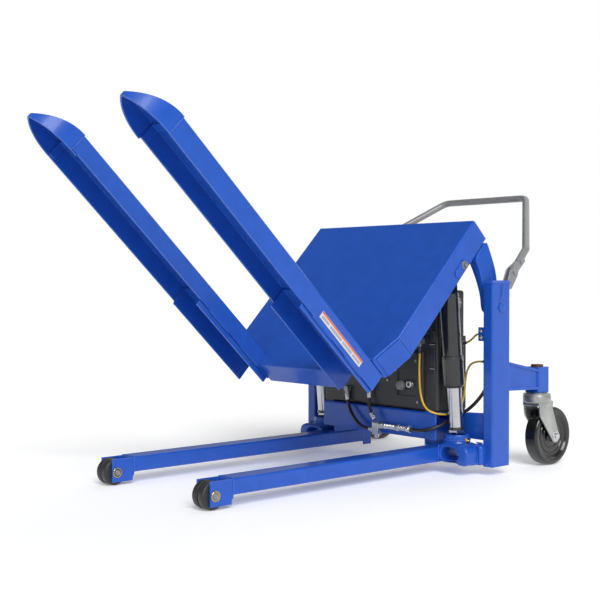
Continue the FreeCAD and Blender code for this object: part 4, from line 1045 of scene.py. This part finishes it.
# %% Bent arms
ARM = [(320, 640), (345, 631), (374, 610), (402, 583), (425, 561), (440, 546), (454, 536), (470, 533), (485, 540),
       (493, 556), (489, 573), (477, 591), (454, 619), (426, 648), (396, 675), (366, 699), (340, 716), (320, 722)]
for side, sign in SIDES:
    outline = smooth_loop(ARM, passes=2)
    share = np.clip((outline[:, 0] - 322) / 118, 0, 1)
    share = share * share * (3 - 2 * share)
    faces_of_arm = [(350, 388, 2.2), (350.6, 388.6, 0.7), (352, 390, 0), (383, 408.5, 0), (384.4, 409.9, 0.7),
                    (385, 410.5, 2.2)]
    rows = []
    for near_pan, near_pin, amount in faces_of_arm:
        line = pulled(outline, amount)
        x = near_pan + (near_pin - near_pan) * share
        rows.append([on_chair(sign * a, y, z) for a, (y, z) in zip(x, line)])
    grid_piece("bent_arm_" + side, np.array(rows), "chair", "blue_paint",
               stand_for=("pivot_arm_" + side,) + (("pivot_bushes",) if side == "left" else ()))
    pin_line = at(0, 469, 556)
    pin = [(411.4, 0.3), (411.4, 19), (413.6, 19), (413.6, 12.7), (456.2, 12.7), (456.2, 15.5), (459.4, 15.5),
           (460.6, 14.4), (461, 12.8), (461, 0.3)]
    grid_piece("pivot_pin_" + side, turned(pin, pin_line, (sign, 0, 0), 56), "frame", "blue_paint",
               stand_for=("pivot_pins",) if side == "left" else ())
    bush = turned([(383.5, 13.2), (383.5, 17.4), (384.1, 18), (388.3, 18), (388.3, 13.2), (383.5, 13.2)], pin_line,
                  (sign, 0, 0), 48)
    grid_piece("pivot_bush_" + side, bush, "chair", "brass", caps=False)
    pin_end = turned([(382, 0.3), (382, 11.6), (383, 12.7), (387.8, 12.7), (387.8, 0.3)], pin_line, (sign, 0, 0), 48)
    grid_piece("pivot_pin_end_" + side, pin_end, "frame", "blue_paint")
print("arms done")

# %% [markdown]
# ## Studio
# The studio is a white room: the paper under the machine and behind it burns out to white, while
# the paint sees a darker ceiling. The world therefore shows white to the
# camera and a gradient to everything else. A broad sun from the front left gives soft shadows, and
# a weaker one behind lifts the far side.

# %% Floor
FLOOR_HALF = 30.0
FLOOR_LEVEL = -0.0005
floor_mesh = bpy.data.meshes.new("studio_floor")
corner_signs = ((-1, -1), (1, -1), (1, 1), (-1, 1))
floor_mesh.from_pydata([(sx * FLOOR_HALF, sy * FLOOR_HALF, FLOOR_LEVEL) for sx, sy in corner_signs],
                       [], [(0, 1, 2, 3)])
floor = bpy.data.objects.new("studio_floor", floor_mesh)
bpy.context.scene.collection.objects.link(floor)
pale = bpy.data.materials.new("pale_floor")
pale.use_nodes = True
paper = pale.node_tree.nodes["Principled BSDF"]
paper.inputs["Base Color"].default_value = (0.97, 0.97, 0.97, 1)
paper.inputs["Roughness"].default_value = 0.95
paper.inputs["Specular IOR Level"].default_value = 0.05
paper.inputs["Emission Color"].default_value = (1.0, 1.0, 1.0, 1)
paper.inputs["Emission Strength"].default_value = 0.20
floor_mesh.materials.append(pale)

# %% Air: white behind, graded above
world = bpy.data.worlds.new("studio_air")
world.use_nodes = True
air = world.node_tree
direction = add_node(air, "ShaderNodeTexCoord")
height = add_node(air, "ShaderNodeSeparateXYZ", {"Vector": direction.outputs["Generated"]})
grade = ramp(air, height.outputs["Z"], [(0.0, 0.92), (0.25, 0.55), (0.5, 0.27), (1.0, 0.24)])
around = add_node(air, "ShaderNodeMapRange", {"Value": height.outputs["X"]})
around.inputs["From Min"].default_value = -1.0
panels = ramp(air, around.outputs["Result"], [(0.0, 0.35), (0.22, 0.45), (0.34, 1.0), (0.50, 0.35), (0.66, 1.0),
                                              (0.84, 0.5), (1.0, 1.0)])
shaded = add_node(air, "ShaderNodeMath", {0: grade, 1: panels}, operation="MULTIPLY")
sky = air.nodes["Background"]
air.links.new(shaded.outputs[0], sky.inputs["Color"])
sky.inputs["Strength"].default_value = 1.25
paper_white = add_node(air, "ShaderNodeBackground")
paper_white.inputs["Color"].default_value = (1.0, 1.0, 1.0, 1.0)
seen = add_node(air, "ShaderNodeLightPath")
either = add_node(air, "ShaderNodeMixShader", {0: seen.outputs["Is Camera Ray"]})
air.links.new(sky.outputs[0], either.inputs[1])
air.links.new(paper_white.outputs[0], either.inputs[2])
air.links.new(either.outputs[0], air.nodes["World Output"].inputs["Surface"])
bpy.context.scene.world = world


# %% Two broad suns
def broad_sun(name, elevation, azimuth, spread, strength):
    """A sun of a given angular size; azimuth is where it stands, elevation its height, in degrees."""
    data = bpy.data.lights.new(name, "SUN")
    data.angle = math.radians(spread)
    data.energy = strength
    lamp = bpy.data.objects.new(name, data)
    lamp.rotation_euler = (math.radians(90 - elevation), 0.0, math.radians(azimuth + 90))
    bpy.context.scene.collection.objects.link(lamp)


broad_sun("key_sun", 40, -28, 36, 2.45)
broad_sun("rear_sun", 40, 110, 60, 0.7)
bpy.context.scene.view_settings.view_transform = "Standard"
